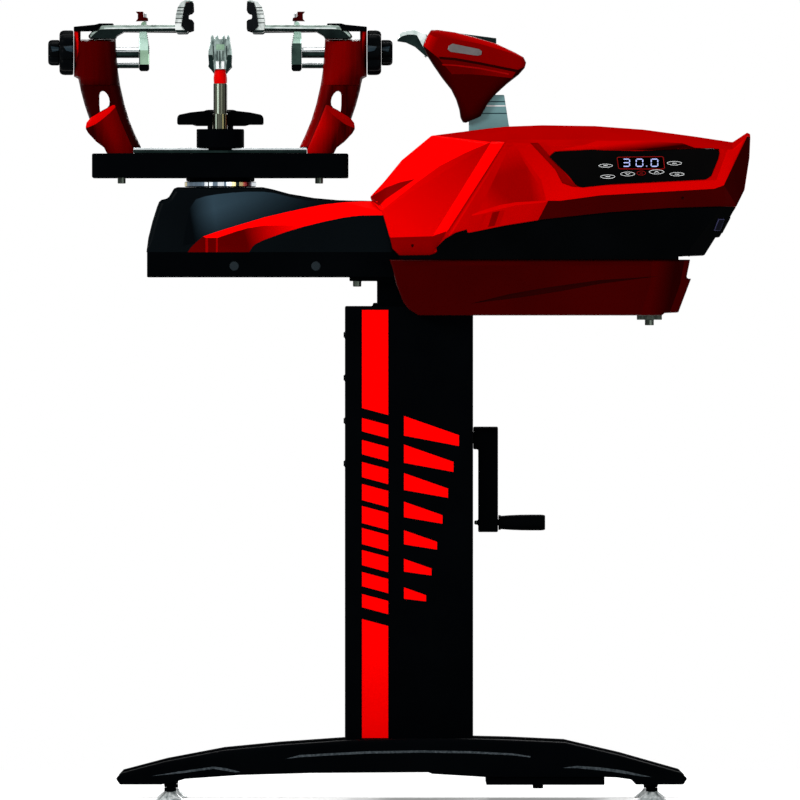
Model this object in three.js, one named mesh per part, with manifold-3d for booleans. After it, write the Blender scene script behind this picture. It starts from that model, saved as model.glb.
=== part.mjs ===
// Racket stringing machine on a stand: a turntable that holds the racket, a motor-driven tension head
// and a column that is cranked up and down. Millimetres, +Z up, +X towards the tension head's end, and
// the control panel faces -Y. The origin is under the middle of the machine, on the floor.

import * as THREE from 'three';
import { mergeVertices } from 'three/addons/utils/BufferGeometryUtils.js';
import Module from 'manifold-3d';

const wasm = await Module();
wasm.setup();

// Clearances and counts shared by all pieces
const gap = 0.3;
const running = 0.5;
const overrun = 20;
const roundSides = 20;
const smallSides = 10;

// Stand
const railLength = 888;
const railHeight = 71;
const railWidth = 60;
const railSpacing = 460;
const railLeft = -440;
const footBossHeight = 4.7;
const footLevel = 21.8;
const ballastLength = 184;
const ballastOverhang = 20;
const ballastThickness = 12;

// Column and its lift
const columnWidth = 200;
const columnDepth = 120;
const columnHeight = 680;
const columnWall = 3;
const columnX = 15.6;
const tubeWidth = 100;
const tubeDepth = 80;
const tubeWall = 4;
const tubeShows = 45;
const screwRadius = 10;
const crankDrop = 206;
const crankReach = 132;

// Head: the beam, its covers and what they hold
const headWall = 3;
const chassisHeight = 39;
const chassisWidth = 160;
const turntableX = -279;
const frontCoverLength = 388;
const frontCoverHeight = 101.4;
const frontCoverLeft = -393;
const coverLength = 593;
const coverHeight = 204.2;
const coverWidth = 240;
const coverRight = 548;
const housingLength = 470;
const housingHeight = 86.6;
const housingWidth = 216;
const housingLeft = -14.8;
const pullTravel = 160;

// Turntable
const ringRadius = 56;
const ringHeight = 8.4;
const hubHeight = 5.2;
const barLength = 400;
const barWidth = 150;
const barHeight = 38;
const barWall = 8;
const railTrackHeight = 8.5;
const railTrackWidth = 16;
const railTrackLength = 270;
const railTrackSpacing = 116;
const towerOffset = 157.7;
const towerWidth = 56;
const towerLength = 106.4;
const towerHeight = 203.6;
const towerInward = 20;
const towerOutward = 5;
const knobRadius = 35;
const smallKnobRadius = 20;
const knobLength = 21.8;
const smallKnobLength = 17.4;

function turnedBy(x, y, z) {
  return new THREE.Matrix4().makeRotationFromEuler(new THREE.Euler(x, y, z, 'ZYX'));
}

const alongX = new THREE.Matrix4().makeBasis(
  new THREE.Vector3(0, 1, 0), new THREE.Vector3(0, 0, 1), new THREE.Vector3(1, 0, 0));
const alongY = turnedBy(Math.PI / 2, 0, 0);

// A closed geometry as a solid that can be joined and cut
function solid(geometry) {
  const bare = geometry.index ? geometry.toNonIndexed() : geometry.clone();
  bare.deleteAttribute('normal');
  bare.deleteAttribute('uv');
  const merged = mergeVertices(bare);
  return new wasm.Manifold(new wasm.Mesh({
    numProp: 3,
    vertProperties: new Float32Array(merged.attributes.position.array),
    triVerts: new Uint32Array(merged.index.array),
  }));
}

function joined(...parts) {
  return parts.reduce((whole, part) => whole.add(part));
}

function cutBy(body, ...tools) {
  return tools.reduce((rest, tool) => rest.subtract(tool), body);
}

function box(x, y, z) {
  const geometry = new THREE.BoxGeometry(x[1] - x[0], y[1] - y[0], z[1] - z[0]);
  geometry.translate((x[0] + x[1]) / 2, (y[0] + y[1]) / 2, (z[0] + z[1]) / 2);
  return solid(geometry);
}

function shapeOf(points) {
  return new THREE.Shape(points.map(([a, b]) => new THREE.Vector2(a, b)));
}

function extruded(points, depth) {
  return new THREE.ExtrudeGeometry(shapeOf(points), { depth, bevelEnabled: false, steps: 1 });
}

// An outline in X and Z, carried along Y
function prismY(points, y) {
  return solid(extruded(points, y[1] - y[0]).applyMatrix4(alongY).translate(0, y[1], 0));
}

// An outline in Y and Z, carried along X
function prismX(points, x) {
  return solid(extruded(points, x[1] - x[0]).applyMatrix4(alongX).translate(x[0], 0, 0));
}

// An outline in X and Y, carried along Z
function prismZ(points, z) {
  return solid(extruded(points, z[1] - z[0]).translate(0, 0, z[0]));
}

function circle(radius, sides, a = 0, b = 0) {
  const points = [];
  for (let i = 0; i < sides; i += 1) {
    const angle = ((i + 1 / 2) / sides) * 2 * Math.PI;
    points.push([a + radius * Math.cos(angle), b + radius * Math.sin(angle)]);
  }
  return points;
}

function rodX(radius, x, y, z, sides = roundSides) {
  return prismX(circle(radius, sides, y, z), x);
}

function rodY(radius, x, y, z, sides = roundSides) {
  return prismY(circle(radius, sides, x, z), y);
}

function rodZ(radius, x, y, z, sides = roundSides) {
  return prismZ(circle(radius, sides, x, y), z);
}

// A round piece from a profile of radius and height, standing at a place
function turned(profile, x, y, z, sides = roundSides) {
  const points = profile.map(([radius, height]) => new THREE.Vector2(radius, height));
  const geometry = new THREE.LatheGeometry(points, sides);
  geometry.rotateX(Math.PI / 2);
  geometry.translate(x, y, z);
  return solid(geometry);
}

// A closed surface through one ring of corners after another
function lofted(rings) {
  const count = rings[0].length;
  const corners = rings.flat();
  const faces = [];
  for (let i = 0; i + 1 < rings.length; i += 1) {
    for (let j = 0; j < count; j += 1) {
      const a = i * count + j;
      const b = i * count + ((j + 1) % count);
      faces.push(a, b, b + count, a, b + count, a + count);
    }
  }
  const flat = rings.map((ring) => ring.map(([, y, z]) => new THREE.Vector2(y, z)));
  const last = (rings.length - 1) * count;
  for (const [a, b, c] of THREE.ShapeUtils.triangulateShape(flat[0], [])) {
    faces.push(a, c, b);
  }
  for (const [a, b, c] of THREE.ShapeUtils.triangulateShape(flat[rings.length - 1], [])) {
    faces.push(last + a, last + b, last + c);
  }
  return new wasm.Manifold(new wasm.Mesh({
    numProp: 3,
    vertProperties: new Float32Array(corners.flat()),
    triVerts: new Uint32Array(faces),
  }));
}

// Shares of a length and a height, laid out from a corner
function laidOut(shares, x, z, length, height) {
  return shares.map(([a, b]) => [x + a * length, z + b * height]);
}

function mirroredX(body, x) {
  return body.mirror([1, 0, 0]).translate([2 * x, 0, 0]);
}

function mirroredY(body) {
  return body.mirror([0, 1, 0]);
}

function moved(body, x, y, z) {
  return body.translate([x, y, z]);
}

function placed(body, matrix) {
  return body.transform(matrix.elements);
}

const machine = new THREE.Group();

function piece(name, body, color, roughness, metalness) {
  const mesh = body.getMesh();
  const geometry = new THREE.BufferGeometry();
  geometry.setAttribute('position', new THREE.BufferAttribute(new Float32Array(mesh.vertProperties), 3));
  geometry.setIndex(new THREE.BufferAttribute(new Uint32Array(mesh.triVerts), 1));
  const material = new THREE.MeshStandardMaterial({ color, roughness, metalness });
  const node = new THREE.Mesh(geometry, material);
  node.name = name;
  machine.add(node);
}

const paint = {
  red: [0xd40a0a, 0.25, 0],
  darkRed: [0x7a0608, 0.35, 0],
  black: [0x0b0c0f, 0.45, 0],
  gloss: [0x050608, 0.1, 0],
  steel: [0xc9ced0, 0.2, 1],
  brass: [0x8a8458, 0.35, 1],
  grey: [0x8fa1a3, 0.4, 0.6],
  board: [0x1d5a34, 0.6, 0],
};

// Stand: two arched rails joined under the column
const railTopShares = [[0, 0.132], [0.009, 0.251], [0.086, 0.505], [0.188, 0.747], [0.286, 0.866],
  [0.401, 0.967], [0.513, 1], [0.626, 0.998], [0.687, 0.98], [0.786, 0.923], [0.884, 0.637],
  [0.989, 0.264], [1, 0.132]];
const railUnderShares = [[0.993, 0], [0.91, 0], [0.902, 0.11], [0.877, 0.154], [0.856, 0.163],
  [0.647, 0.163], [0.554, 0.233], [0.543, 0.286], [0.402, 0.273], [0.216, 0.207], [0.121, 0.123],
  [0.105, 0.066], [0.079, 0], [0.007, 0]];
const crossTopShare = 0.9;
const crossUnderShare = 0.29;
const ballastShare = 0.648;
const ballastSeatShare = 0.163;
const footShares = [0.095, 0.938];
const railUnder = footLevel + footBossHeight;
const crossTop = railUnder + crossTopShare * railHeight;
const footBossRadius = 9.4;
const footStemRadius = 5.5;
const footStemInside = 16;
const footPadRadius = 24;
const footPadHeight = 2.2;
const footConeRadius = 8.5;
const footConeHeight = 12.8;
const ballastBoltRadius = 8.5;
const ballastBoltHeight = 5.6;
const ballastBoltShare = 0.438;
const columnLeft = columnX - columnWidth / 2;
const columnRight = columnX + columnWidth / 2;
const footPlaces = [
  ['foot_front_left', footShares[0], -1],
  ['foot_front_right', footShares[1], -1],
  ['foot_rear_left', footShares[0], 1],
  ['foot_rear_right', footShares[1], 1],
];

function railSolid(side) {
  const outline = laidOut([...railTopShares, ...railUnderShares], railLeft, railUnder, railLength,
    railHeight);
  const y = side * railSpacing / 2;
  return prismY(outline, [y - railWidth / 2, y + railWidth / 2]);
}

function baseFrame() {
  const inside = railSpacing / 2 - railWidth / 2;
  const cross = box([columnLeft, columnRight], [-inside - railWidth / 4, inside + railWidth / 4],
    [railUnder + crossUnderShare * railHeight, crossTop]);
  let frame = joined(railSolid(-1), railSolid(1), cross);
  for (const [, share, side] of footPlaces) {
    const x = railLeft + share * railLength;
    const y = side * railSpacing / 2;
    frame = joined(frame, rodZ(footBossRadius, x, y, [footLevel, railUnder + footBossHeight]));
    const depth = footLevel + footStemInside + gap;
    frame = cutBy(frame, rodZ(footStemRadius + running, x, y, [footLevel - overrun, depth]));
  }
  return frame;
}

function levellingFoot(share, side) {
  const profile = [[0, 0], [footPadRadius, 0], [footPadRadius, footPadHeight],
    [footConeRadius, footPadHeight + footConeHeight], [footStemRadius, footPadHeight + footConeHeight],
    [footStemRadius, footLevel + footStemInside], [0, footLevel + footStemInside]];
  return turned(profile, railLeft + share * railLength, side * railSpacing / 2, 0);
}

function ballastPlate() {
  const left = railLeft + ballastShare * railLength;
  const top = railUnder + ballastSeatShare * railHeight - gap;
  const half = railSpacing / 2 + ballastOverhang;
  const plate = box([left, left + ballastLength], [-half, half],
    [top - ballastThickness, top]);
  const under = top - ballastThickness;
  let whole = plate;
  for (const side of [-1, 1]) {
    const y = side * railSpacing / 2;
    whole = joined(whole, rodZ(ballastBoltRadius, left + ballastBoltShare * ballastLength, y,
      [under - ballastBoltHeight, under + ballastThickness / 2], smallSides));
  }
  return whole;
}

piece('base_frame', baseFrame(), ...paint.black);
piece('ballast_plate', ballastPlate(), ...paint.black);
for (const [name, share, side] of footPlaces) {
  piece(name, levellingFoot(share, side), ...paint.steel);
}

// Column: a box section with a collar for the lift tube and a bracket for the screw and crank
const columnBottom = crossTop + gap;
const columnTop = columnBottom + columnHeight;
const columnPlate = 6;
const collarHeight = 5;
const collarWidth = 6;
const columnCorner = 5;
const columnFootPlate = 8;
const columnFootHole = 30;
const columnScrewRadius = 4;
const columnScrewHeight = 2;
const columnScrewPitch = 67;
const columnScrewCount = 4;
const columnScrewDrop = 45;
const crankZ = columnTop - crankDrop;
const bracketThickness = 16;
const bracketDrop = 44.6;
const bracketWidth = 50;
const bracketOverhang = 20;
const bearingReach = 44;
const bearingLeft = columnX + bearingReach;
const bearingLength = 20;
const bearingWidth = 40;
const bearingRise = 20;
const shaftRadius = 7;
const journalRadius = 8;
const gearInner = 12;
const gearOuter = 20;
const bracketTop = crankZ - bracketDrop + bracketThickness;

function chamferedRectangle(halfX, halfY, corner, x) {
  return [[x - halfX + corner, -halfY], [x + halfX - corner, -halfY], [x + halfX, -halfY + corner],
    [x + halfX, halfY - corner], [x + halfX - corner, halfY], [x - halfX + corner, halfY],
    [x - halfX, halfY - corner], [x - halfX, -halfY + corner]];
}

function columnShell() {
  const outer = prismZ(chamferedRectangle(columnWidth / 2, columnDepth / 2, columnCorner, columnX),
    [columnBottom, columnTop]);
  const hollow = prismZ(chamferedRectangle(columnWidth / 2 - columnWall, columnDepth / 2 - columnWall,
    columnCorner, columnX), [columnBottom + columnFootPlate, columnTop - columnPlate]);
  const collar = prismZ(chamferedRectangle(tubeWidth / 2 + running + collarWidth,
    tubeDepth / 2 + running + collarWidth, columnCorner, columnX),
    [columnTop - columnPlate, columnTop + collarHeight]);
  const mouth = box([columnX - tubeWidth / 2 - running, columnX + tubeWidth / 2 + running],
    [-tubeDepth / 2 - running, tubeDepth / 2 + running], [columnTop - overrun, columnTop + overrun]);
  const bracket = box([columnX - bracketOverhang, columnRight - columnWall / 2],
    [-bracketWidth / 2, bracketWidth / 2], [bracketTop - bracketThickness, bracketTop]);
  const bearing = box([bearingLeft, bearingLeft + bearingLength], [-bearingWidth / 2, bearingWidth / 2],
    [bracketTop - bracketThickness / 2, crankZ + bearingRise]);
  let shell = joined(cutBy(outer, hollow), collar);
  shell = joined(cutBy(shell, mouth), bracket, bearing);
  shell = cutBy(shell,
    rodZ(journalRadius + gap, columnX, 0, [bracketTop - overrun, bracketTop + overrun]),
    rodZ(columnFootHole, columnX, 0, [columnBottom - overrun, columnBottom + overrun]),
    rodX(shaftRadius + gap, [bearingLeft - gap, columnRight + overrun], 0, crankZ));
  for (let i = 0; i < columnScrewCount; i += 1) {
    const z = columnTop - columnScrewDrop - i * columnScrewPitch;
    shell = joined(shell, rodX(columnScrewRadius, [columnLeft - columnScrewHeight,
      columnLeft + columnWall / 2],
      0, z, smallSides));
  }
  return shell;
}

// Lift screw with its bevel wheel, and the crank with its shaft and pinion
const screwOver = 30;
const screwTop = columnTop + screwOver;
const screwFoot = bracketTop - bracketThickness + gap;
const crankBossRadius = 18;
const crankArmWidth = 31;
const crankArmDepth = 30;
const crankArmGap = 8;
const gripBoltRadius = 3.5;
const gripBoltInside = 60;
const gripLength = 73;
const gripRadius = 12.4;
const gripNeckRadius = 10.6;
const gripEndRadius = 11.4;
const gripShareBreaks = [0.5, 0.97];

function jackScrew() {
  const apex = crankZ;
  const profile = [[0, screwFoot], [journalRadius, screwFoot], [journalRadius, bracketTop + gap],
    [gearOuter - gap, bracketTop + gap], [gearOuter - gap, apex - gearOuter],
    [gearInner - gap, apex - gearInner], [screwRadius, apex - gearInner], [screwRadius, screwTop],
    [0, screwTop]];
  return turned(profile, columnX, 0, 0);
}

function crankArm() {
  const bossLeft = columnRight + gap;
  const armLeft = columnRight + crankArmGap;
  const armRight = armLeft + crankArmWidth;
  const pinion = [[0, gearInner], [gearInner - gap, gearInner], [gearOuter - gap, gearOuter],
    [gearOuter - gap, bearingLeft - columnX - gap], [0, bearingLeft - columnX - gap]];
  const points = pinion.map(([radius, reach]) => new THREE.Vector2(radius, reach));
  const bevel = new THREE.LatheGeometry(points, roundSides);
  bevel.rotateZ(-Math.PI / 2);
  bevel.translate(columnX, 0, crankZ);
  const shaft = rodX(shaftRadius, [bearingLeft - running, armLeft + gap], 0, crankZ);
  const boss = rodX(crankBossRadius, [bossLeft, armRight], 0, crankZ);
  const arm = box([armLeft, armRight], [-crankArmDepth / 2, crankArmDepth / 2],
    [crankZ - crankReach - crankArmDepth / 2, crankZ]);
  const bolt = rodX(gripBoltRadius, [columnRight + crankArmGap / 4, armRight + gripBoltInside], 0,
    crankZ - crankReach, smallSides);
  return joined(solid(bevel), shaft, boss, arm, bolt);
}

function crankGrip() {
  const left = columnRight + crankArmGap + crankArmWidth + 2 * gap;
  const profile = [[0, 0], [gripNeckRadius, 0], [gripRadius, gripShareBreaks[0] * gripLength],
    [gripRadius, gripShareBreaks[1] * gripLength], [gripEndRadius, gripLength], [0, gripLength]];
  const points = profile.map(([radius, reach]) => new THREE.Vector2(radius, reach));
  const grip = new THREE.LatheGeometry(points, roundSides);
  grip.rotateZ(-Math.PI / 2);
  grip.translate(left, 0, crankZ - crankReach);
  const bore = rodX(gripBoltRadius + gap, [left - overrun, left + gripBoltInside + gap], 0,
    crankZ - crankReach, smallSides);
  return cutBy(solid(grip), bore);
}

piece('column_shell', columnShell(), ...paint.black);
piece('jack_screw', jackScrew(), ...paint.steel);
piece('crank_arm', crankArm(), ...paint.black);
piece('crank_grip', crankGrip(), ...paint.black);

// Lift tube: it carries the head, slides in the column and holds the nut of the lift screw
const chassisBottom = columnTop + tubeShows;
const tubeFoot = 210;
const shoeHeight = 20;
const flangeHeight = 5.6;
const flangeReach = 43;
const flangeBoltRadius = 6.8;
const flangeBoltHeight = 8.6;
const flangeBoltInset = 12;
const slotWidth = 60;
const nutHeight = 18;
const slotOver = 7;
const slotTop = crankZ + bearingRise + slotOver;

function liftTube() {
  const bottom = columnBottom + tubeFoot;
  const top = chassisBottom - gap;
  const half = [tubeWidth / 2, tubeDepth / 2];
  const tube = cutBy(
    box([columnX - half[0], columnX + half[0]], [-half[1], half[1]], [bottom, top]),
    box([columnX - half[0] + tubeWall, columnX + half[0] - tubeWall],
    [-half[1] + tubeWall, half[1] - tubeWall],
      [bottom - overrun, top + overrun]));
  const shoe = cutBy(
    prismZ(chamferedRectangle(columnWidth / 2 - columnWall - running,
    columnDepth / 2 - columnWall - running,
      columnCorner, columnX), [bottom, bottom + shoeHeight]),
    box([columnX - half[0] + tubeWall, columnX + half[0] - tubeWall],
    [-half[1] + tubeWall, half[1] - tubeWall],
      [bottom - overrun, bottom + shoeHeight + overrun]));
  const flange = cutBy(
    box([columnX - half[0] - flangeReach, columnX + half[0] + flangeReach],
    [-columnDepth / 2, columnDepth / 2],
      [top - flangeHeight, top]),
    rodZ(screwRadius + gap, columnX, 0, [top - overrun, top + overrun]));
  const nut = box([columnX - half[0] + tubeWall / 2, columnX + half[0] - tubeWall / 2],
    [-half[1] + tubeWall / 2, half[1] - tubeWall / 2],
    [slotTop + tubeWall, slotTop + tubeWall + nutHeight]);
  let whole = joined(tube, shoe);
  whole = cutBy(whole, box([columnX + half[0] - tubeWall - gap, columnX + half[0] + gap],
    [-slotWidth / 2, slotWidth / 2],
    [bottom + shoeHeight, slotTop]));
  whole = joined(whole, flange, nut);
  whole = cutBy(whole, rodZ(screwRadius + gap, columnX, 0,
    [slotTop - overrun, slotTop + nutHeight + overrun]));
  for (const sideX of [-1, 1]) {
    for (const sideY of [-1, 1]) {
      const x = columnX + sideX * (half[0] + flangeReach - flangeBoltInset);
      const y = sideY * (columnDepth / 2 - flangeBoltInset);
      whole = joined(whole, rodZ(flangeBoltRadius, x, y,
        [top - flangeHeight - flangeBoltHeight, top - flangeHeight / 2], smallSides));
    }
  }
  return whole;
}

piece('lift_tube', liftTube(), ...paint.black);

// Chassis: an open steel channel, with ears that carry the covers
const chassisRight = 436;
const chassisTop = chassisBottom + chassisHeight;
const chassisWall = 3;
const coverLap = 5.4;
const housingDrop = 6.5;
const coverBottom = chassisTop - coverLap;
const housingTop = coverBottom - housingDrop;
const lowerCoverWall = 2.5;
const lowerCoverHalf = 114;
const outriggerX = [150, 400];
const outriggerWidth = 24;
const plugRadius = 7;
const plugHeight = 1.5;
const plugLevelShare = 0.44;
const plugX = [22, 149.5];
const bearingTubeRadius = 30;
const spindleRadius = 20;
const frontCoverTop = chassisTop + gap + frontCoverHeight;
const bearingTubeTop = frontCoverTop - headWall - gap;

function chassis() {
  const half = chassisWidth / 2;
  let body = box([frontCoverLeft, chassisRight], [-half, half], [chassisBottom, chassisTop]);
  body = cutBy(body, box([frontCoverLeft + chassisWall, chassisRight - chassisWall],
    [-half + chassisWall, half - chassisWall], [chassisBottom + chassisWall, chassisTop + overrun]));
  for (const x of outriggerX) {
    const ear = box([x - outriggerWidth / 2, x + outriggerWidth / 2],
      [half - chassisWall, lowerCoverHalf - lowerCoverWall - gap],
      [housingTop + gap, chassisTop - chassisWall]);
    body = joined(body, ear, mirroredY(ear));
  }
  body = joined(body, rodZ(bearingTubeRadius, turntableX, 0,
    [chassisBottom + chassisWall / 2, bearingTubeTop]));
  body = cutBy(body, rodZ(spindleRadius + gap, turntableX, 0,
    [chassisBottom + chassisWall, bearingTubeTop + overrun]));
  for (const x of plugX) {
    body = joined(body, rodY(plugRadius, turntableX + x, [-half - plugHeight, -half + chassisWall / 2],
      chassisBottom + plugLevelShare * chassisHeight));
  }
  return body;
}

const frontCoverShares = [[0, 0], [0, 0.031], [0.012, 0.338], [0.048, 0.777], [0.078, 0.815], [0.1, 0.96],
  [0.116, 1], [0.478, 1], [0.606, 0.892], [0.759, 0.811], [0.896, 0.788], [1, 0.754], [1, 0]];

const edgeLevelShare = 0.788;

// One end of the wedge that slopes the cover's upper edges away towards the main cover
function edgeCut(x, size) {
  const half = chassisWidth / 2;
  const top = chassisTop + gap + edgeLevelShare * frontCoverHeight;
  return [[x, half + overrun, top - size - overrun], [x, half + overrun, frontCoverTop + overrun],
    [x, half - size - frontCoverTop + top - overrun, frontCoverTop + overrun], [x, half, top - size]];
}

function frontCover() {
  const half = chassisWidth / 2;
  const bottom = chassisTop + gap;
  const outline = laidOut(frontCoverShares, frontCoverLeft, bottom, frontCoverLength, frontCoverHeight);
  const inner = laidOut(frontCoverShares, frontCoverLeft + headWall, bottom - headWall,
    frontCoverLength - 2 * headWall, frontCoverHeight);
  const shoulder = lofted([edgeCut(frontCoverLeft + frontCoverLength / 2, overrun / 4),
    edgeCut(frontCoverLeft + frontCoverLength + overrun, overrun * 2)]);
  const hollow = cutBy(prismY(inner, [-half + headWall, half - headWall]),
    moved(shoulder, 0, -headWall, -headWall), mirroredY(moved(shoulder, 0, -headWall, -headWall)));
  const shell = cutBy(prismY(outline, [-half, half]), shoulder, mirroredY(shoulder), hollow);
  return cutBy(shell, rodZ(spindleRadius + headWall, turntableX, 0,
    [frontCoverTop - overrun, frontCoverTop + overrun]));
}

piece('chassis', chassis(), ...paint.black);
piece('front_cover', frontCover(), ...paint.black);

// Main cover: sections along its length, cut to its side outline. Each section has a flat top, a
// shoulder crease, a fold crease and a lower edge
const coverTopShares = [[0, 0.449], [0.037, 0.566], [0.083, 0.729], [0.153, 0.91], [0.169, 0.925],
  [0.261, 0.958], [0.36, 0.986], [0.491, 1], [0.59, 0.99], [0.721, 0.962], [0.853, 0.91], [0.953, 0.866],
  [0.992, 0.94], [1, 0.927]];
const coverEndShares = [[0.997, 0.744], [0.984, 0.5], [0.962, 0.371]];
const coverSeamShares = [[0.962, 0.371], [0.918, 0.374], [0.787, 0.362], [0.623, 0.328], [0.458, 0.276],
  [0.35, 0.226], [0.241, 0.16], [0.208, 0.106], [0.171, 0.015], [0.156, 0.002], [0.077, 0]];
const coverNoseShares = [[0.059, 0.053], [0.052, 0.134], [0.033, 0.328], [0.003, 0.427]];
// Along, top, half of the top, shoulder, its half, fold, its half, half of the lower edge
const coverSectionShares = [
  [0, 0.449, 0.4, 0.44, 0.62, 0.42, 0.7, 0.7],
  [0.037, 0.566, 0.42, 0.36, 0.71, 0.2, 0.71, 0.71],
  [0.083, 0.729, 0.44, 0.44, 0.76, 0.134, 0.78, 0.78],
  [0.161, 0.916, 0.48, 0.58, 0.82, 0.134, 0.88, 0.88],
  [0.31, 0.971, 0.5, 0.853, 0.93, 0.28, 0.99, 0.97],
  [0.36, 0.986, 0.5, 0.853, 0.96, 0.34, 1, 0.97],
  [0.452, 0.996, 0.5, 0.84, 1, 0.423, 1, 0.95],
  [0.59, 0.99, 0.5, 0.838, 1, 0.461, 1, 0.95],
  [0.721, 0.962, 0.5, 0.832, 1, 0.49, 1, 0.95],
  [0.853, 0.91, 0.5, 0.82, 1, 0.503, 1, 0.95],
  [0.931, 0.876, 0.5, 0.81, 0.99, 0.557, 1, 0.95],
  [0.953, 0.866, 0.5, 0.806, 0.96, 0.729, 0.98, 0.93],
  [0.992, 0.94, 0.5, 0.91, 0.88, 0.88, 0.9, 0.87],
  [1, 0.927, 0.5, 0.9, 0.84, 0.87, 0.86, 0.84],
];
const coverLeft = coverRight - coverLength;
const slotHalf = 18;
const postLeft = 109;
const postLength = 63;
const slotMargin = 4;

function coverBody(inset) {
  const half = coverWidth / 2;
  const low = coverBottom - overrun;
  const rings = coverSectionShares.map(([along, top, topHalf, shoulder, shoulderHalf, fold, foldHalf,
    lowHalf]) => {
    const x = THREE.MathUtils.clamp(coverLeft + along * coverLength, coverLeft + inset, coverRight - inset);
    const side = [[lowHalf, low], [foldHalf, coverBottom + fold * coverHeight - inset / 2],
      [shoulderHalf, coverBottom + shoulder * coverHeight - inset],
      [topHalf, coverBottom + top * coverHeight - inset]];
    const right = side.map(([share, z]) => [x, share * half - inset, z]);
    const left = side.map(([share, z]) => [x, inset - share * half, z]).reverse();
    return [...right, ...left];
  });
  return lofted(rings);
}

const panelShares = [[0, 0.784], [0.033, 0.912], [0.254, 0.964], [0.313, 0.946], [0.519, 0.928], [0.959, 1],
  [1, 0.928], [0.991, 0.732], [0.951, 0.294], [0.918, 0.204], [0.684, 0.157], [0.355, 0.077], [0.19, 0],
  [0.161, 0.041], [0.116, 0.294]];
const panelLength = 264.9;
const panelHeight = 60.5;
const panelInset = 48.9;
const panelUp = 106.1;
const panelLeft = coverRight - panelInset - panelLength;
const panelBottom = coverBottom + panelUp;
const panelProud = 1;
const panelBack = 6;
const panelFace = -coverWidth / 2 - panelProud;

function panelOutline(grown) {
  const middle = [panelLeft + panelLength / 2, panelBottom + panelHeight / 2];
  const outline = laidOut(panelShares, panelLeft, panelBottom, panelLength, panelHeight);
  const stretch = [1 + 2 * grown / panelLength, 1 + 2 * grown / panelHeight];
  return outline.map(([x, z]) => [middle[0] + (x - middle[0]) * stretch[0],
    middle[1] + (z - middle[1]) * stretch[1]]);
}

function mainCover() {
  const shares = [...coverTopShares, ...coverEndShares, ...coverSeamShares.slice(1), ...coverNoseShares];
  const outline = laidOut(shares, coverLeft, coverBottom, coverLength, coverHeight);
  const side = prismY(outline, [-coverWidth, coverWidth]);
  const sideInner = moved(side, -headWall - running, 0, -headWall);
  const shell = cutBy(coverBody(0).intersect(side), coverBody(headWall).intersect(sideInner));
  const slot = box([postLeft - slotMargin, postLeft + postLength + pullTravel + slotMargin],
    [-slotHalf, slotHalf],
    [coverBottom + coverHeight / 2, coverBottom + coverHeight + overrun]);
  const window = prismY(panelOutline(gap), [-coverWidth, -coverWidth / 2 + panelBack * 2]);
  return cutBy(shell, slot, window);
}

piece('main_cover', mainCover(), ...paint.red);

// Lower cover: a belt under the main cover, with a slanted end and cut corners
const lowerEndShares = [[0.953, 0.328], [0.919, 0.141], [0.909, 0.141], [0.879, 0.002], [0.809, -0.005],
  [0.808, -0.03], [0.077, -0.03]];
const lowerFootShare = 0.84;
const endTiltShares = [0.034, 0.187];
// Along, across and up on the main cover
const switchShares = [0.917, 0.8, 0.235];
const inletShares = [0.936, 0, 0.2345];
const endTilt = Math.atan2(endTiltShares[0] * coverLength, endTiltShares[1] * coverHeight);
const cornerTurn = -Math.PI / 4;

function frameOnCover(shares, turn) {
  return new THREE.Matrix4().makeTranslation(coverLeft + shares[0] * coverLength,
    -shares[1] * coverWidth / 2, coverBottom + shares[2] * coverHeight).multiply(turnedBy(0, endTilt,
    turn));
}

const cornerFrame = frameOnCover(switchShares, cornerTurn);
const endFrame = frameOnCover(inletShares, 0);
const switchSize = [10, 14, 21];
const inletSize = [24, 48, 28];
const inletProud = 1.5;
const inletSlotHalf = 4;
const inletSocketDepth = 14;

function lowerCoverOutline() {
  const seam = coverSeamShares.map(([a, b]) => [a, b - gap / coverHeight]);
  return laidOut([...seam.reverse(), ...lowerEndShares], coverLeft, coverBottom, coverLength, coverHeight);
}

function lowerCover() {
  const outline = lowerCoverOutline();
  const outer = prismY(outline, [-lowerCoverHalf, lowerCoverHalf]);
  const inner = prismY(outline, [-lowerCoverHalf + lowerCoverWall, lowerCoverHalf - lowerCoverWall]);
  const back = -2 * lowerCoverWall;
  const cavity = joined(moved(inner, back, 0, overrun / 2), moved(inner, back, 0, 0));
  const leftOpen = box([coverLeft - overrun, coverLeft + coverLength / 4],
    [-lowerCoverHalf + lowerCoverWall, lowerCoverHalf - lowerCoverWall],
    [housingTop - overrun, coverBottom + coverHeight]);
  const footOpen = box([coverLeft, coverLeft + lowerFootShare * coverLength],
    [-lowerCoverHalf + lowerCoverWall, lowerCoverHalf - lowerCoverWall],
    [housingTop - overrun, coverBottom + overrun]);
  let body = outer;
  const corner = placed(box([0, overrun * 8], [-overrun * 8, overrun * 8], [-overrun * 8, overrun * 8]),
    cornerFrame);
  body = cutBy(body, corner, mirroredY(corner));
  const innerCorner = placed(box([back, overrun * 8], [-overrun * 8, overrun * 8],
    [-overrun * 8, overrun * 8]), cornerFrame);
  body = cutBy(body, cutBy(cavity, innerCorner, mirroredY(innerCorner)), leftOpen, footOpen);
  const switchHole = box([-overrun, overrun], [-switchSize[1] / 2 - running, switchSize[1] / 2 + running],
    [-switchSize[2] / 2 - running, switchSize[2] / 2 + running]);
  const inletHole = box([-inletSize[0] - overrun, overrun],
    [-inletSize[1] / 2 - gap, inletSize[1] / 2 + gap],
    [-inletSize[2] / 2 - gap, inletSize[2] / 2 + gap]);
  return cutBy(body, placed(switchHole, cornerFrame), placed(inletHole, endFrame));
}

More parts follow.
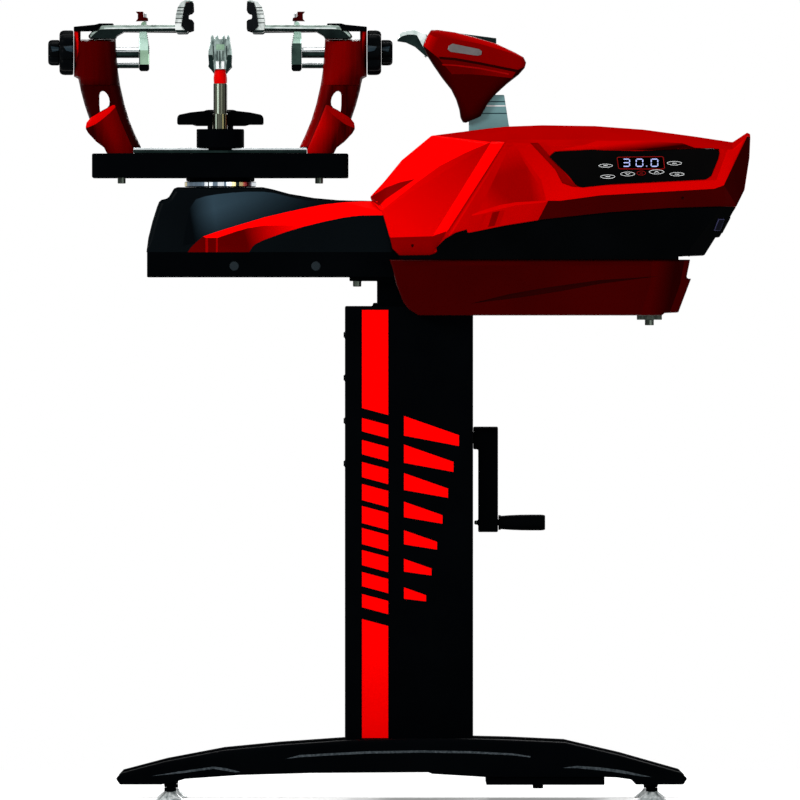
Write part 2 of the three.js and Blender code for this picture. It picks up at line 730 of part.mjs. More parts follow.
function powerInlet() {
  const body = box([-inletSize[0], inletProud], [-inletSize[1] / 2, inletSize[1] / 2],
    [-inletSize[2] / 2, inletSize[2] / 2]);
  const socket = box([inletProud - inletSocketDepth, overrun],
    [-inletSize[1] / 4 - inletSlotHalf, inletSlotHalf],
    [-inletSize[2] / 4, inletSize[2] / 4]);
  return placed(cutBy(body, socket), endFrame);
}

function powerSwitch() {
  return placed(box([-switchSize[0], inletProud], [-switchSize[1] / 2, switchSize[1] / 2],
    [-switchSize[2] / 2, switchSize[2] / 2]), cornerFrame);
}

piece('lower_cover', lowerCover(), ...paint.black);
piece('power_inlet', powerInlet(), ...paint.black);
piece('power_switch', powerSwitch(), ...paint.gloss);

// Lower housing: an open pan round the lift column
const housingShares = [[0, 1], [0.997, 1], [0.984, 0.658], [1, 0.658], [0.958, 0.052], [0.914, 0.043],
  [0.904, 0], [0.095, 0], [0.063, 0.114], [0.045, 0.243], [0.022, 0.564], [0.01, 0.854]];
const housingFoot = housingTop - housingHeight;
const undermountShare = 0.8634;
const undermountX = housingLeft + undermountShare * housingLength;
const undermountLength = 39;
const undermountHeight = 6.9;
const undermountBoltRadius = 7.4;
const undermountBoltHeight = 8.6;
const columnRoom = 3;

function lowerHousing() {
  const half = housingWidth / 2;
  const outer = prismY(laidOut(housingShares, housingLeft, housingFoot, housingLength, housingHeight),
    [-half, half]);
  const inner = prismY(laidOut(housingShares, housingLeft + headWall, housingFoot + headWall,
    housingLength - 2 * headWall, housingHeight), [-half + headWall, half - headWall]);
  const notch = box([housingLeft - overrun, columnRight + columnRoom],
    [-columnDepth / 2 - columnRoom, columnDepth / 2 + columnRoom],
    [housingFoot - overrun, housingTop + overrun]);
  const plate = box([undermountX - undermountLength / 2, undermountX + undermountLength / 2],
    [-undermountLength / 2, undermountLength / 2], [housingFoot - undermountHeight,
    housingFoot + headWall / 2]);
  const bolt = rodZ(undermountBoltRadius, undermountX, 0,
    [housingFoot - undermountHeight - undermountBoltHeight, housingFoot], smallSides);
  const chassisRoom = box([housingLeft - overrun, housingLeft + columnWidth / 4],
    [-chassisWidth / 2 - 2 * gap, chassisWidth / 2 + 2 * gap], [chassisBottom - gap, housingTop + overrun]);
  return joined(cutBy(outer, inner, notch, chassisRoom), plate, bolt);
}

piece('lower_housing', lowerHousing(), ...paint.darkRed);

// Control panel and its keys
const keyTravel = 0.8;
const keyProud = 1;
const keyDepth = 4;
// Name, and shares of the panel: along, up, half length, half height
const keyShares = [
  ['key_speed', 0.331, 0.557, 0.044, 0.053],
  ['key_memory', 0.344, 0.274, 0.046, 0.058],
  ['key_unit', 0.736, 0.621, 0.046, 0.06],
  ['key_count', 0.751, 0.339, 0.046, 0.056],
  ['key_down', 0.461, 0.344, 0.045, 0.064],
  ['key_set', 0.541, 0.367, 0.029, 0.066],
  ['key_up', 0.631, 0.397, 0.047, 0.066],
];

function keyOutline([, along, up, halfLength, halfHeight], grown) {
  return circle(1, roundSides).map(([a, b]) => [
    panelLeft + along * panelLength + a * (halfLength * panelLength + grown),
    panelBottom + up * panelHeight + b * (halfHeight * panelHeight + grown)]);
}

function controlPanel() {
  let plate = prismY(panelOutline(0), [panelFace, panelFace + panelBack]);
  for (const key of keyShares) {
    plate = cutBy(plate, prismY(keyOutline(key, gap),
      [panelFace - overrun, panelFace + keyDepth + keyTravel + gap]));
  }
  return plate;
}

piece('control_panel', controlPanel(), ...paint.gloss);
for (const key of keyShares) {
  piece(key[0], prismY(keyOutline(key, 0), [panelFace - keyProud, panelFace + keyDepth]), ...paint.gloss);
}

// Control board: a circuit board on four standoffs behind the panel
const boardLength = 160;
const boardHeight = 40;
const boardThickness = 1.6;
const boardStandoff = 8;
const boardStandoffRadius = 3;
const boardInset = 6;

function controlBoard() {
  const x = panelLeft + panelLength / 2;
  const z = panelBottom + panelHeight / 2;
  const front = panelFace + panelBack + gap + boardStandoff;
  let board = box([x - boardLength / 2, x + boardLength / 2], [front, front + boardThickness],
    [z - boardHeight / 2, z + boardHeight / 2]);
  for (const sideX of [-1, 1]) {
    for (const sideZ of [-1, 1]) {
      board = joined(board, rodY(boardStandoffRadius, x + sideX * (boardLength / 2 - boardInset),
        [front - boardStandoff, front + boardThickness / 2], z + sideZ * (boardHeight / 2 - boardInset),
        smallSides));
    }
  }
  return board;
}

piece('control_board', controlBoard(), ...paint.board);

// Tension drive: a guide rail with end pillars, a screw and a motor, and the carriage on them
const driveFloor = chassisBottom + chassisWall + gap;
const guideLeft = 70;
const guideRight = 352;
const guideWidth = 30;
const guideHeight = 66;
const pillarLength = 9;
const pillarRise = 36;
const driveRise = 86;
const driveZ = driveFloor + driveRise;
const driveRadius = 8;
const motorLength = 60;
const motorRadius = 30;
const motorFootWidth = 50;
const saddleLength = 78;
const saddleWidth = 60;
const saddleRise = 44;
const saddleSkirt = 14;

function guideRail() {
  const rail = box([guideLeft, guideRight], [-guideWidth / 2, guideWidth / 2],
    [driveFloor, driveFloor + guideHeight]);
  let body = rail;
  for (const x of [guideLeft, guideRight - pillarLength]) {
    body = joined(body, box([x, x + pillarLength], [-guideWidth / 2, guideWidth / 2],
      [driveFloor, driveZ + pillarRise / 2]));
  }
  return cutBy(body, rodX(driveRadius + gap, [guideLeft - overrun, guideRight + overrun], 0, driveZ));
}

function driveMotor() {
  const left = guideRight + 2 * pillarLength;
  const body = rodX(motorRadius, [left, left + motorLength], 0, driveZ);
  const foot = box([left + gap, left + motorLength - gap], [-motorFootWidth / 2, motorFootWidth / 2],
    [driveFloor, driveZ - motorRadius / 2]);
  return joined(body, foot);
}

function driveScrew() {
  return rodX(driveRadius, [guideLeft + gap, guideRight + 2 * pillarLength - gap], 0, driveZ);
}

// Carriage: saddle, post, the fixed jaw and the nose that leads the string in
const headLeft = 37.4;
const headLength = 161.1;
const headHeight = 145.1;
const headClear = 3.5;
const headFoot = coverBottom + coverHeight + headClear;
const postHalf = 15;
const jawLeft = 48;
const jawLength = 104;
const jawHalf = 12;
const jawTopShares = [0.98, 0.91];
const jawCorner = 11;
const jawCornerShare = 0.72;
const jawFootShare = 0.62;
const jawProud = 3;
const stringSlot = 5;
const beamFootShare = 0.5;
const beamCornerFoot = 82;
const beamCornerTop = 42;
const noseLength = 51.5;
const noseHeight = 42.1;
const noseHalf = 14;
const noseReachShare = 0.785;
const grooveShare = 0.6;
const noseShares = [[0, 0.57], [0.061, 0.815], [0.212, 0.944], [0.394, 1], [0.576, 0.981], [0.879, 0.852],
  [0.97, 0.593], [0.97, 0], [0.879, 0], [0.545, 0.359], [0.273, 0.519]];
const headCoverHalf = 32;
const headCoverWall = 4;

function jawOutline(foot) {
  const right = jawLeft + jawLength;
  return [[jawLeft, headFoot + jawCornerShare * headHeight], [jawLeft + jawCorner, foot], [right, foot],
    [right, headFoot + jawTopShares[1] * headHeight],
    [jawLeft + jawProud, headFoot + jawTopShares[0] * headHeight + jawProud],
    [jawLeft, headFoot + jawTopShares[0] * headHeight]];
}

function carriagePost() {
  const saddleLeft = postLeft + postLength / 2 - saddleLength / 2;
  const railTop = driveFloor + guideHeight;
  const saddle = box([saddleLeft, saddleLeft + saddleLength], [-saddleWidth / 2, saddleWidth / 2],
    [railTop - saddleSkirt, railTop + saddleRise]);
  const railRoom = box([saddleLeft - overrun, saddleLeft + saddleLength + overrun],
    [-guideWidth / 2 - gap, guideWidth / 2 + gap], [railTop - overrun, railTop + gap]);
  const beamFoot = headFoot + beamFootShare * headHeight;
  const jawFoot = headFoot + jawFootShare * headHeight;
  const post = box([postLeft, postLeft + postLength], [-postHalf, postHalf],
    [railTop + saddleRise / 2, jawFoot]);
  const beam = box([headLeft + headCoverWall + gap, postLeft + postLength / 2], [-postHalf, postHalf],
    [beamFoot, jawFoot]);
  const beamCut = prismY([[headLeft - overrun, jawFoot + overrun], [headLeft - overrun, beamFoot - overrun],
    [beamCornerFoot, beamFoot - overrun], [beamCornerTop, jawFoot + overrun]], [-saddleWidth, saddleWidth]);
  const fixedJaw = prismY(jawOutline(jawFoot - jawProud), [stringSlot / 2, jawHalf]);
  const noseZ = headFoot + headHeight - noseHeight;
  const nose = prismY(laidOut(noseShares, headLeft - noseReachShare * noseLength, noseZ, noseLength,
    noseHeight), [-noseHalf, noseHalf]);
  const neck = box([headLeft + headCoverWall, jawLeft + overrun], [postHalf / 2, postHalf - gap],
    [noseZ, noseZ + noseHeight / 2]);
  const groove = box([headLeft - noseLength, jawLeft], [-stringSlot / 2, stringSlot / 2],
    [noseZ + grooveShare * noseHeight, headFoot + headHeight + overrun]);
  const body = joined(cutBy(saddle, railRoom), post, cutBy(beam, beamCut), fixedJaw, cutBy(nose, groove),
    neck);
  return cutBy(body, rodX(driveRadius + gap, [saddleLeft - overrun, saddleLeft + saddleLength + overrun],
    0, driveZ));
}

function stringJaw() {
  const foot = headFoot + jawFootShare * headHeight + gap;
  return prismY(jawOutline(foot), [-jawHalf, -stringSlot / 2]);
}

const headShares = [[0.14, 1], [0.31, 0.973], [0.503, 0.919], [0.71, 0.852], [0.891, 0.758], [0.976, 0.704],
  [1, 0.645], [0.987, 0.591], [0.927, 0.516], [0.818, 0.422], [0.71, 0.314], [0.637, 0.22], [0.581, 0.113],
  [0.558, 0.065], [0.416, 0], [0.387, 0.005], [0.364, 0.054], [0.352, 0.14], [0.322, 0.247], [0.274, 0.355],
  [0.189, 0.475], [0.105, 0.61], [0.032, 0.738], [0, 0.825], [0.039, 0.932], [0.077, 0.994]];

function headCover() {
  const outline = laidOut(headShares, headLeft, headFoot, headLength, headHeight);
  const inner = laidOut(headShares, headLeft + headCoverWall, headFoot + headCoverWall,
    headLength - 2 * headCoverWall, headHeight - 2 * headCoverWall);
  const outer = prismY(outline, [-headCoverHalf, headCoverHalf]);
  const hollow = prismY(inner, [-postHalf - 2 * gap, postHalf + 2 * gap]);
  const postRoom = box([postLeft - 2 * gap, postLeft + postLength + 2 * gap],
    [-postHalf - 2 * gap, postHalf + 2 * gap],
    [headFoot - overrun, headFoot + jawFootShare * headHeight]);
  const jawRoom = box([jawLeft - 2 * gap, jawLeft + jawLength + 2 * gap],
    [-postHalf - 2 * gap, postHalf + 2 * gap],
    [headFoot + headHeight / 2, headFoot + headHeight + overrun]);
  const noseRoom = box([headLeft - overrun, jawLeft + overrun], [-postHalf - 2 * gap, postHalf + 2 * gap],
    [headFoot + headHeight - noseHeight - gap, headFoot + headHeight + overrun]);
  return cutBy(outer, hollow, postRoom, jawRoom, noseRoom);
}

piece('guide_rail', guideRail(), ...paint.steel);
piece('drive_motor', driveMotor(), ...paint.black);
piece('drive_screw', driveScrew(), ...paint.steel);
piece('carriage_post', carriagePost(), ...paint.grey);
piece('string_jaw', stringJaw(), ...paint.steel);
piece('head_cover', headCover(), ...paint.red);

// Turntable: the spindle and its ring, the bar and the two clamp tracks
const ringBottom = frontCoverTop + gap;
const barBottom = ringBottom + ringHeight + gap + hubHeight;
const barTop = barBottom + barHeight;
const hubRadius = 54;
const spindleFoot = chassisBottom + chassisWall + gap;
const studShank = 5;
const studRadius = 6.6;
const studShows = 8.6;
const barCorner = 6;
const trackTop = barTop + gap + railTrackHeight;
const tieWidth = 40;
const tieHeight = 3;
const studOffset = 154.2;

function spindle() {
  const profile = [[0, spindleFoot], [spindleRadius, spindleFoot], [spindleRadius, ringBottom],
    [ringRadius, ringBottom], [ringRadius, ringBottom + ringHeight], [0, ringBottom + ringHeight]];
  return turned(profile, turntableX, 0, 0, 2 * roundSides);
}

function turntableBar() {
  const half = barWidth / 2;
  const outer = prismZ(chamferedRectangle(barLength / 2, half, barCorner, turntableX), [barBottom, barTop]);
  const hollow = box([turntableX - barLength / 2 + barWall, turntableX + barLength / 2 - barWall],
    [-half + barWall, half - barWall], [barBottom - overrun, barTop - barWall]);
  const hub = rodZ(hubRadius, turntableX, 0, [ringBottom + ringHeight + gap, barTop - barWall / 2]);
  let body = joined(cutBy(outer, hollow), hub);
  for (const side of [-1, 1]) {
    const inner = turntableX + side * (studOffset - towerInward - studShank - running);
    const outerEnd = turntableX + side * (studOffset + towerOutward + studShank + running);
    body = cutBy(body, box([Math.min(inner, outerEnd), Math.max(inner, outerEnd)],
      [-studShank - running, studShank + running], [barTop - barWall - overrun / 4, barTop + overrun]));
  }
  return body;
}

function clampRails() {
  const bottom = barTop + gap;
  let body = box([turntableX - tieWidth / 2, turntableX + tieWidth / 2],
    [-railTrackSpacing / 2, railTrackSpacing / 2], [bottom, bottom + tieHeight]);
  for (const side of [-1, 1]) {
    const y = side * railTrackSpacing / 2;
    body = joined(body, box([turntableX - railTrackLength / 2, turntableX + railTrackLength / 2],
      [y - railTrackWidth / 2, y + railTrackWidth / 2], [bottom, trackTop]));
  }
  return body;
}

piece('spindle', spindle(), ...paint.steel);
piece('turntable_bar', turntableBar(), ...paint.black);
piece('clamp_rails', clampRails(), ...paint.steel);

// Towers: each is modelled at the left and mirrored for the right
const towerFoot = barTop + gap;
const towerReach = 71.5;
const towerLeft = turntableX - towerOffset - towerReach;
const towerShares = [[0.269, 0], [0.269, 0.037], [0.119, 0.199], [0.131, 0.226], [0.166, 0.276],
  [0.158, 0.398],
  [0.073, 0.579], [0, 0.594], [0, 0.981], [0.594, 1], [0.594, 0.981], [0.111, 0.943], [0.111, 0.882],
  [0.626, 0.882], [0.654, 0.648], [0.776, 0.368], [1, 0.046], [1, 0]];
const windowShares = [[0.38, 0.486], [0.44, 0.479], [0.502, 0.437], [0.502, 0.383], [0.45, 0.352],
  [0.346, 0.325],
  [0.346, 0.452]];
const knobRise = 195.8;
const knobZ = barBottom + knobRise;
const armKnobRight = towerLeft - gap;
const armPivotReach = 34.3;
const armPivotX = towerLeft + armPivotReach;
const armPinFootShare = 0.87;
const armPinTopShare = 0.965;
const armSeatShare = 0.882;
const armPivotY = 13;
const pinRadius = 3.5;
const rodRadius = 8.5;
const lowRodRadius = 4.4;
const lowRodDrop = 20;
const supportReach = 127;
const supportLeft = turntableX - supportReach;
const supportTravel = 12;
const rodInside = 80;
const screwShaft = 4.5;
const knobSleeve = 10;
const knobSleeveBore = 6;
const sleeveDepth = 7;

function tower() {
  const outline = laidOut(towerShares, towerLeft, towerFoot, towerLength, towerHeight);
  const hole = laidOut(windowShares, towerLeft, towerFoot, towerLength, towerHeight);
  const half = towerWidth / 2;
  let body = cutBy(prismY(outline, [-half, half]), prismY(hole, [-towerWidth, towerWidth]));
  const pinTop = towerFoot + armPinTopShare * towerHeight;
  for (const side of [-1, 1]) {
    body = joined(body, rodZ(pinRadius, armPivotX, side * armPivotY,
      [towerFoot + armPinFootShare * towerHeight, pinTop], smallSides));
  }
  const studX = turntableX - studOffset;
  const underPlate = barTop - barWall - gap;
  body = joined(body, rodZ(studShank, studX, 0, [barBottom - studShows / 2, towerFoot + studShank],
    smallSides));
  body = joined(body, rodZ(studRadius, studX, 0, [barBottom - studShows, underPlate], smallSides));
  return cutBy(body,
    rodX(rodRadius + gap, [supportLeft - rodInside - supportTravel - gap, supportLeft + overrun], 0, knobZ),
    rodX(lowRodRadius + gap, [supportLeft - rodInside - supportTravel - gap, supportLeft + overrun], 0,
      knobZ - lowRodDrop, smallSides),
    rodX(knobSleeve + gap, [towerLeft - overrun, towerLeft + sleeveDepth + gap], 0, knobZ),
    rodX(screwShaft + running, [towerLeft - overrun, supportLeft], 0, knobZ, smallSides));
}

const pointsPerLobe = 4;
const lobeDepthShare = 0.07;

// The outline of a lobed knob
function starOutline(radius, lobes) {
  const points = [];
  const steps = lobes * pointsPerLobe;
  for (let i = 0; i < steps; i += 1) {
    const angle = (i / steps) * 2 * Math.PI;
    const r = radius * (1 - lobeDepthShare + lobeDepthShare * Math.cos(lobes * angle));
    points.push([r * Math.cos(angle), knobZ + r * Math.sin(angle)]);
  }
  return points;
}

const lobeCount = 8;

function armKnob() {
  const star = prismX(starOutline(knobRadius, lobeCount), [armKnobRight - knobLength, armKnobRight]);
  const sleeve = rodX(knobSleeve, [armKnobRight - knobLength / 2, towerLeft + sleeveDepth], 0, knobZ);
  return cutBy(joined(star, sleeve),
    rodX(knobSleeveBore, [armKnobRight - knobLength - overrun, towerLeft + overrun], 0, knobZ, smallSides));
}

function supportKnob() {
  const right = armKnobRight - knobLength - gap;
  const star = prismX(starOutline(smallKnobRadius, lobeCount), [right - smallKnobLength, right]);
  const shaft = rodX(screwShaft, [right - smallKnobLength / 2, supportLeft - rodInside / 2], 0, knobZ,
    smallSides);
  return joined(star, shaft);
}

// Racket support: two rods, a block with a post, and the pin for the V piece
const supportWidth = 17;
const supportHalf = 18;
const supportPlateUnder = 24.5;
const supportPlateOver = 24;
const supportPostHalf = 6;
const supportPostWidth = 12.5;
const supportPostTop = 46.2;
const vPinRadius = 2;
const vLength = 20;
const vHeight = 15.6;
const vHalf = 11;
const vShares = [[0, 1], [1, 1], [1, 0], [0.594, 0], [0.594, 0.35], [0, 0.1], [0.35, 0.55]];
const vLeftShift = 5.4;
const vPinShift = 10;

function supportPiece() {
  const right = supportLeft + supportWidth;
  const plate = box([supportLeft, right], [-supportHalf, supportHalf],
    [knobZ - supportPlateUnder, knobZ + supportPlateOver]);
  const post = box([supportLeft, supportLeft + supportPostWidth], [-supportPostHalf, supportPostHalf],
    [knobZ, knobZ + supportPostTop]);
  const upper = rodX(rodRadius, [supportLeft - rodInside, supportLeft + gap], 0, knobZ);
  const lower = rodX(lowRodRadius, [supportLeft - rodInside, supportLeft + gap], 0, knobZ - lowRodDrop,
    smallSides);
  const pin = rodZ(vPinRadius, supportLeft + vPinShift, 0,
    [knobZ + supportPostTop - gap, knobZ + supportPostTop + gap + vHeight], smallSides);
  const body = joined(plate, post, upper, lower, pin);
  return cutBy(body, rodX(screwShaft + running,
    [supportLeft - rodInside - overrun, supportLeft - rodInside / 2 + supportTravel + running], 0, knobZ,
    smallSides));
}

function vSupport() {
  const left = supportLeft - vLeftShift;
  const foot = knobZ + supportPostTop + gap;
  const body = prismY(laidOut(vShares, left, foot, vLength, vHeight), [-vHalf, vHalf]);
  return cutBy(body, rodZ(vPinRadius + gap, supportLeft + vPinShift, 0,
    [foot - overrun, foot + vHeight + overrun], smallSides));
}

// Side arm: a root on its pin, a raised bar and a claw that faces the racket's middle
const armRootRadius = 9;
const armRootHeight = 10.8;
const armThickness = 9.9;
const armHalf = 7;
const armSpanX = 133;
const armSpanY = 95;
const armStepShare = 0.26;
const armTaperShare = 0.8;
const clawHeight = 51.5;
const clawWidth = 16;
const clawDepth = 22;
const clawUnder = 1;
const clawTurn = Math.PI / 4;
const clawShares = [[0.42, 0], [1, 0.06], [1, 0.42], [0.72, 0.46], [0.72, 0.66], [1, 0.7], [1, 0.94],
  [0.6, 1],
  [0.25, 0.92], [0.06, 0.72], [0, 0.45], [0.08, 0.18], [0.22, 0.03]];

// The arm is built along +X from its pivot, then swung out to the front or the rear
function sideArm(side) {
  const length = Math.hypot(armSpanX, armSpanY);
  const swing = side * Math.atan2(armSpanY, armSpanX);
  const rootZ = towerFoot + armSeatShare * towerHeight + gap;
  const barZ = rootZ + armRootHeight - gap;
  const root = rodZ(armRootRadius, 0, 0, [rootZ, rootZ + armRootHeight]);
  const stepX = armStepShare * length;
  const neck = box([0, stepX + 2 * armHalf], [-armHalf, armHalf], [rootZ, rootZ + armRootHeight]);
  const taper = armTaperShare * armHalf;
  const bar = prismZ([[stepX, -armHalf], [length, -taper], [length, taper], [stepX, armHalf]],
    [barZ - gap, barZ + armThickness]);
  const clawFoot = barZ - gap - clawUnder;
  const outline = laidOut(clawShares, -clawDepth / 2, clawFoot, clawDepth, clawHeight);
  const claw = prismY(outline, [-clawWidth / 2, clawWidth / 2]);
  const turnBack = new THREE.Matrix4().makeTranslation(length, 0, 0)
    .multiply(turnedBy(0, 0, -swing - side * clawTurn));
  const arm = joined(root, neck, bar, placed(claw, turnBack));
  const bored = cutBy(arm, rodZ(pinRadius + gap, 0, 0, [rootZ - overrun, rootZ + overrun], smallSides));
  const where = new THREE.Matrix4().makeTranslation(armPivotX, side * armPivotY,
    0).multiply(turnedBy(0, 0, swing));
  return placed(bored, where);
}

const towerPieces = [
  ['tower', tower(), paint.red],
  ['arm_knob', armKnob(), paint.black],
  ['support_knob', supportKnob(), paint.black],
  ['support', supportPiece(), paint.steel],
  ['v_support', vSupport(), paint.red],
  ['arm_front', sideArm(-1), paint.steel],
  ['arm_rear', sideArm(1), paint.steel],
];

for (const [name, body, coat] of towerPieces) {
  piece('left_' + name, body, ...coat);
  piece('right_' + name, mirroredX(body, turntableX), ...coat);
}

// String clamps: modelled at the front and mirrored to the rear
const clampDiscRadius = 37;
const clampDiscY = -50;
const clampBaseHeight = 29;
const postY = -66;
const clampPostRadius = 10.5;
const postLowRadius = 11.9;
const postInside = 20;
const postRise = 71;
const postLowRise = 24;
const spigotRadius = 7;
const headLift = 30;
const lockY = -33;
const lockHubRadius = 20;
const lockHalfLength = 67.5;
const lockArmHalf = 8;
const lockUnder = 8;
const lockThickness = 15;
const lockHubRise = 6;
const lockPinRadius = 4;
const lockTaperShare = 0.62;
const collarRadius = 10;
const collarRise = 23.5;
const clampHeadLength = 37.4;
const clampHeadHeight = 61.3;
const clampHeadThickness = 11;
const clampHeadSink = 7.8;
const clampJawGap = 2.4;
const clampJawTravel = 2;
const clampHeadShares = [[0.104, 0.87], [0.104, 1], [0.24, 1], [0.26, 0.87], [0.33, 0.87], [0.35, 1],
  [0.47, 1],
  [0.49, 0.87], [0.56, 0.87], [0.58, 1], [0.7, 1], [0.72, 0.87], [0.78, 0.87], [0.8, 1], [0.9, 1],
  [0.9, 0.87],
  [1, 0.56], [0.917, 0.305], [0.75, 0.102], [0.708, 0], [0.292, 0], [0.25, 0.102], [0.083, 0.305],
  [0, 0.56]].reverse();
const jawPinRadius = 3;
const jawPinShare = 0.4;
const lipHeight = 6;
const lipWidth = 4;

const clampBottom = trackTop + gap;
const clampTop = clampBottom + clampBaseHeight;
const clampPostTop = clampTop + postRise;
const headBottom = clampPostTop + gap;
const clampHeadZ = headBottom + collarRise - clampHeadSink;

function clampBase() {
  const disc = rodZ(clampDiscRadius, turntableX, clampDiscY, [clampBottom, clampTop], 2 * roundSides);
  const trackY = -railTrackSpacing / 2;
  let body = disc;
  for (const side of [-1, 1]) {
    const inner = trackY + side * (railTrackWidth / 2 + gap);
    const outer = inner + side * lipWidth;
    body = joined(body, box([turntableX - clampDiscRadius / 2, turntableX + clampDiscRadius / 2],
      [Math.min(inner, outer), Math.max(inner, outer)],
      [clampBottom - lipHeight + tieHeight / 2, clampBottom + lipWidth]));
  }
  body = joined(body, rodZ(lockPinRadius, turntableX, lockY,
    [clampTop - lipWidth, clampTop + lockThickness], smallSides));
  return cutBy(body, rodZ(postLowRadius + gap, turntableX, postY,
    [clampTop - postInside - gap, clampTop + overrun]));
}

function clampPost() {
  const profile = [[0, clampTop - postInside], [postLowRadius, clampTop - postInside],
    [postLowRadius, clampTop + postLowRise], [clampPostRadius, clampTop + postLowRise],
    [clampPostRadius, clampPostTop],
    [spigotRadius, clampPostTop], [spigotRadius, clampPostTop + headLift + lipHeight],
    [0, clampPostTop + headLift + lipHeight]];
  return turned(profile, turntableX, postY, 0);
}

function lockHandle() {
  const wingFoot = clampTop + lockUnder;
  const hub = rodZ(lockHubRadius, turntableX, lockY,
    [clampTop + gap, wingFoot + lockThickness + lockHubRise]);
  const taper = lockTaperShare * lockArmHalf;
  const wing = prismZ([[turntableX - lockHalfLength, lockY - taper], [turntableX, lockY - lockArmHalf],
    [turntableX + lockHalfLength, lockY - taper], [turntableX + lockHalfLength, lockY + taper],
    [turntableX, lockY + lockArmHalf], [turntableX - lockHalfLength, lockY + taper]],
  [wingFoot, wingFoot + lockThickness]);
  return cutBy(joined(hub, wing), rodZ(lockPinRadius + gap, turntableX, lockY,
    [clampTop - overrun, clampTop + lockThickness + gap], smallSides));
}

function clampHead() {
  const left = turntableX - clampHeadLength / 2;
  const inner = postY + clampJawGap / 2;
  const outline = laidOut(clampHeadShares, left, clampHeadZ, clampHeadLength, clampHeadHeight);
  const plate = prismY(outline, [inner, inner + clampHeadThickness]);
  const collar = rodZ(collarRadius, turntableX, postY, [headBottom, headBottom + collarRise]);
  const room = headBottom + headLift + lipHeight;
  const stem = box([turntableX - collarRadius, turntableX + collarRadius],
    [postY, inner + clampHeadThickness],
    [headBottom + collarRise / 2, room]);
  const jawRoom = box([left - overrun, left + clampHeadLength + overrun], [postY - overrun, inner],
    [headBottom + collarRise + gap, clampHeadZ + clampHeadHeight + overrun]);
  const pin = rodY(jawPinRadius, turntableX, [postY - clampJawGap / 2 - clampHeadThickness, inner + gap],
    clampHeadZ + jawPinShare * clampHeadHeight + 2 * pinRadius, smallSides);
  const body = joined(plate, collar, stem);
  const bored = cutBy(body, rodZ(spigotRadius + gap, turntableX, postY,
    [headBottom - overrun, room + gap]));
  return joined(cutBy(bored, jawRoom), pin);
}

function clampJaw() {
  const left = turntableX - clampHeadLength / 2;
  const outer = postY - clampJawGap / 2;
  const outline = laidOut(clampHeadShares, left, clampHeadZ, clampHeadLength, clampHeadHeight);
  const plate = prismY(outline, [outer - clampHeadThickness, outer]);
  const low = box([left - overrun, left + clampHeadLength + overrun],
    [outer - 2 * overrun, outer + overrun],
    [headBottom - overrun, headBottom + collarRise + 2 * gap]);
  const bore = rodZ(spigotRadius + gap, turntableX, postY,
    [headBottom - overrun, headBottom + headLift + lipHeight + gap]);
  const pinHole = rodY(jawPinRadius + gap, turntableX, [outer - 2 * overrun, outer + overrun],
    clampHeadZ + jawPinShare * clampHeadHeight + 2 * pinRadius, smallSides);
  return cutBy(plate, low, bore, moved(bore, 0, -clampJawTravel, 0), pinHole);
}

const clampPieces = [
  ['clamp_base', clampBase(), paint.black],
  ['clamp_post', clampPost(), paint.brass],
  ['lock_handle', lockHandle(), paint.black],
  ['clamp_head', clampHead(), paint.steel],
  ['clamp_jaw', clampJaw(), paint.steel],
];

for (const [name, body, coat] of clampPieces) {
  piece('front_' + name, body, ...coat);
  piece('rear_' + name, mirroredY(body), ...coat);
}

export default machine;
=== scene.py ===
from math import cos, hypot, pi, radians, sin

import bmesh
import bpy
from mathutils import Matrix, Vector


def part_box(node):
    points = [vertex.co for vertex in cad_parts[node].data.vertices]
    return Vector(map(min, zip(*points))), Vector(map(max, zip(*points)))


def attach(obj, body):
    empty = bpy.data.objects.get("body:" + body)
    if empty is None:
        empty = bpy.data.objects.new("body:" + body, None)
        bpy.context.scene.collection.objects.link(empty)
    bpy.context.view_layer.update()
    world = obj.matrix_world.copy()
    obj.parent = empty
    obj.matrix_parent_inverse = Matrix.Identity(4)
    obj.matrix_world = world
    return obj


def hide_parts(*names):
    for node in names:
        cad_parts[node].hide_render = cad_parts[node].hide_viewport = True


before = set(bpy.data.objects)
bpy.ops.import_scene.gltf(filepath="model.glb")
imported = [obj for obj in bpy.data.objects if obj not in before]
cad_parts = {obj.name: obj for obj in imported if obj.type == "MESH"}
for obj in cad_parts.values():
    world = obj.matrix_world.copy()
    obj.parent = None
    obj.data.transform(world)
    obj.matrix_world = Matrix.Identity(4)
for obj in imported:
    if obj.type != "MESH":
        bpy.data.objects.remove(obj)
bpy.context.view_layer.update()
scene = bpy.context.scene
print("frame loaded:", len(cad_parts), "nodes")

# The photograph's pixels: 1.56 mm each, 399 is the machine's middle and 800 is the floor
pixel = 0.00156
pixelMiddle = 399
pixelFloor = 800


def across(px):
    return (px - pixelMiddle) * pixel


def level(py):
    return (pixelFloor - py) * pixel


def places(points):
    return [(across(px), level(py)) for px, py in points]


# Camera
view = {"distance": 50, "sensor": 36, "wide": 800, "side": 400, "height": 400, "plane": -0.06, "clip": 200}
eye = bpy.data.cameras.new("photoCamera")
eye.sensor_width = view["sensor"]
eye.lens = view["sensor"] * view["distance"] / (view["wide"] * pixel)
eye.clip_end = view["clip"]
camera = bpy.data.objects.new("photoCamera", eye)
camera.location = (across(view["side"]), view["plane"] - view["distance"], level(view["height"]))
camera.rotation_euler = (pi / 2, 0, 0)
scene.collection.objects.link(camera)
scene.camera = camera


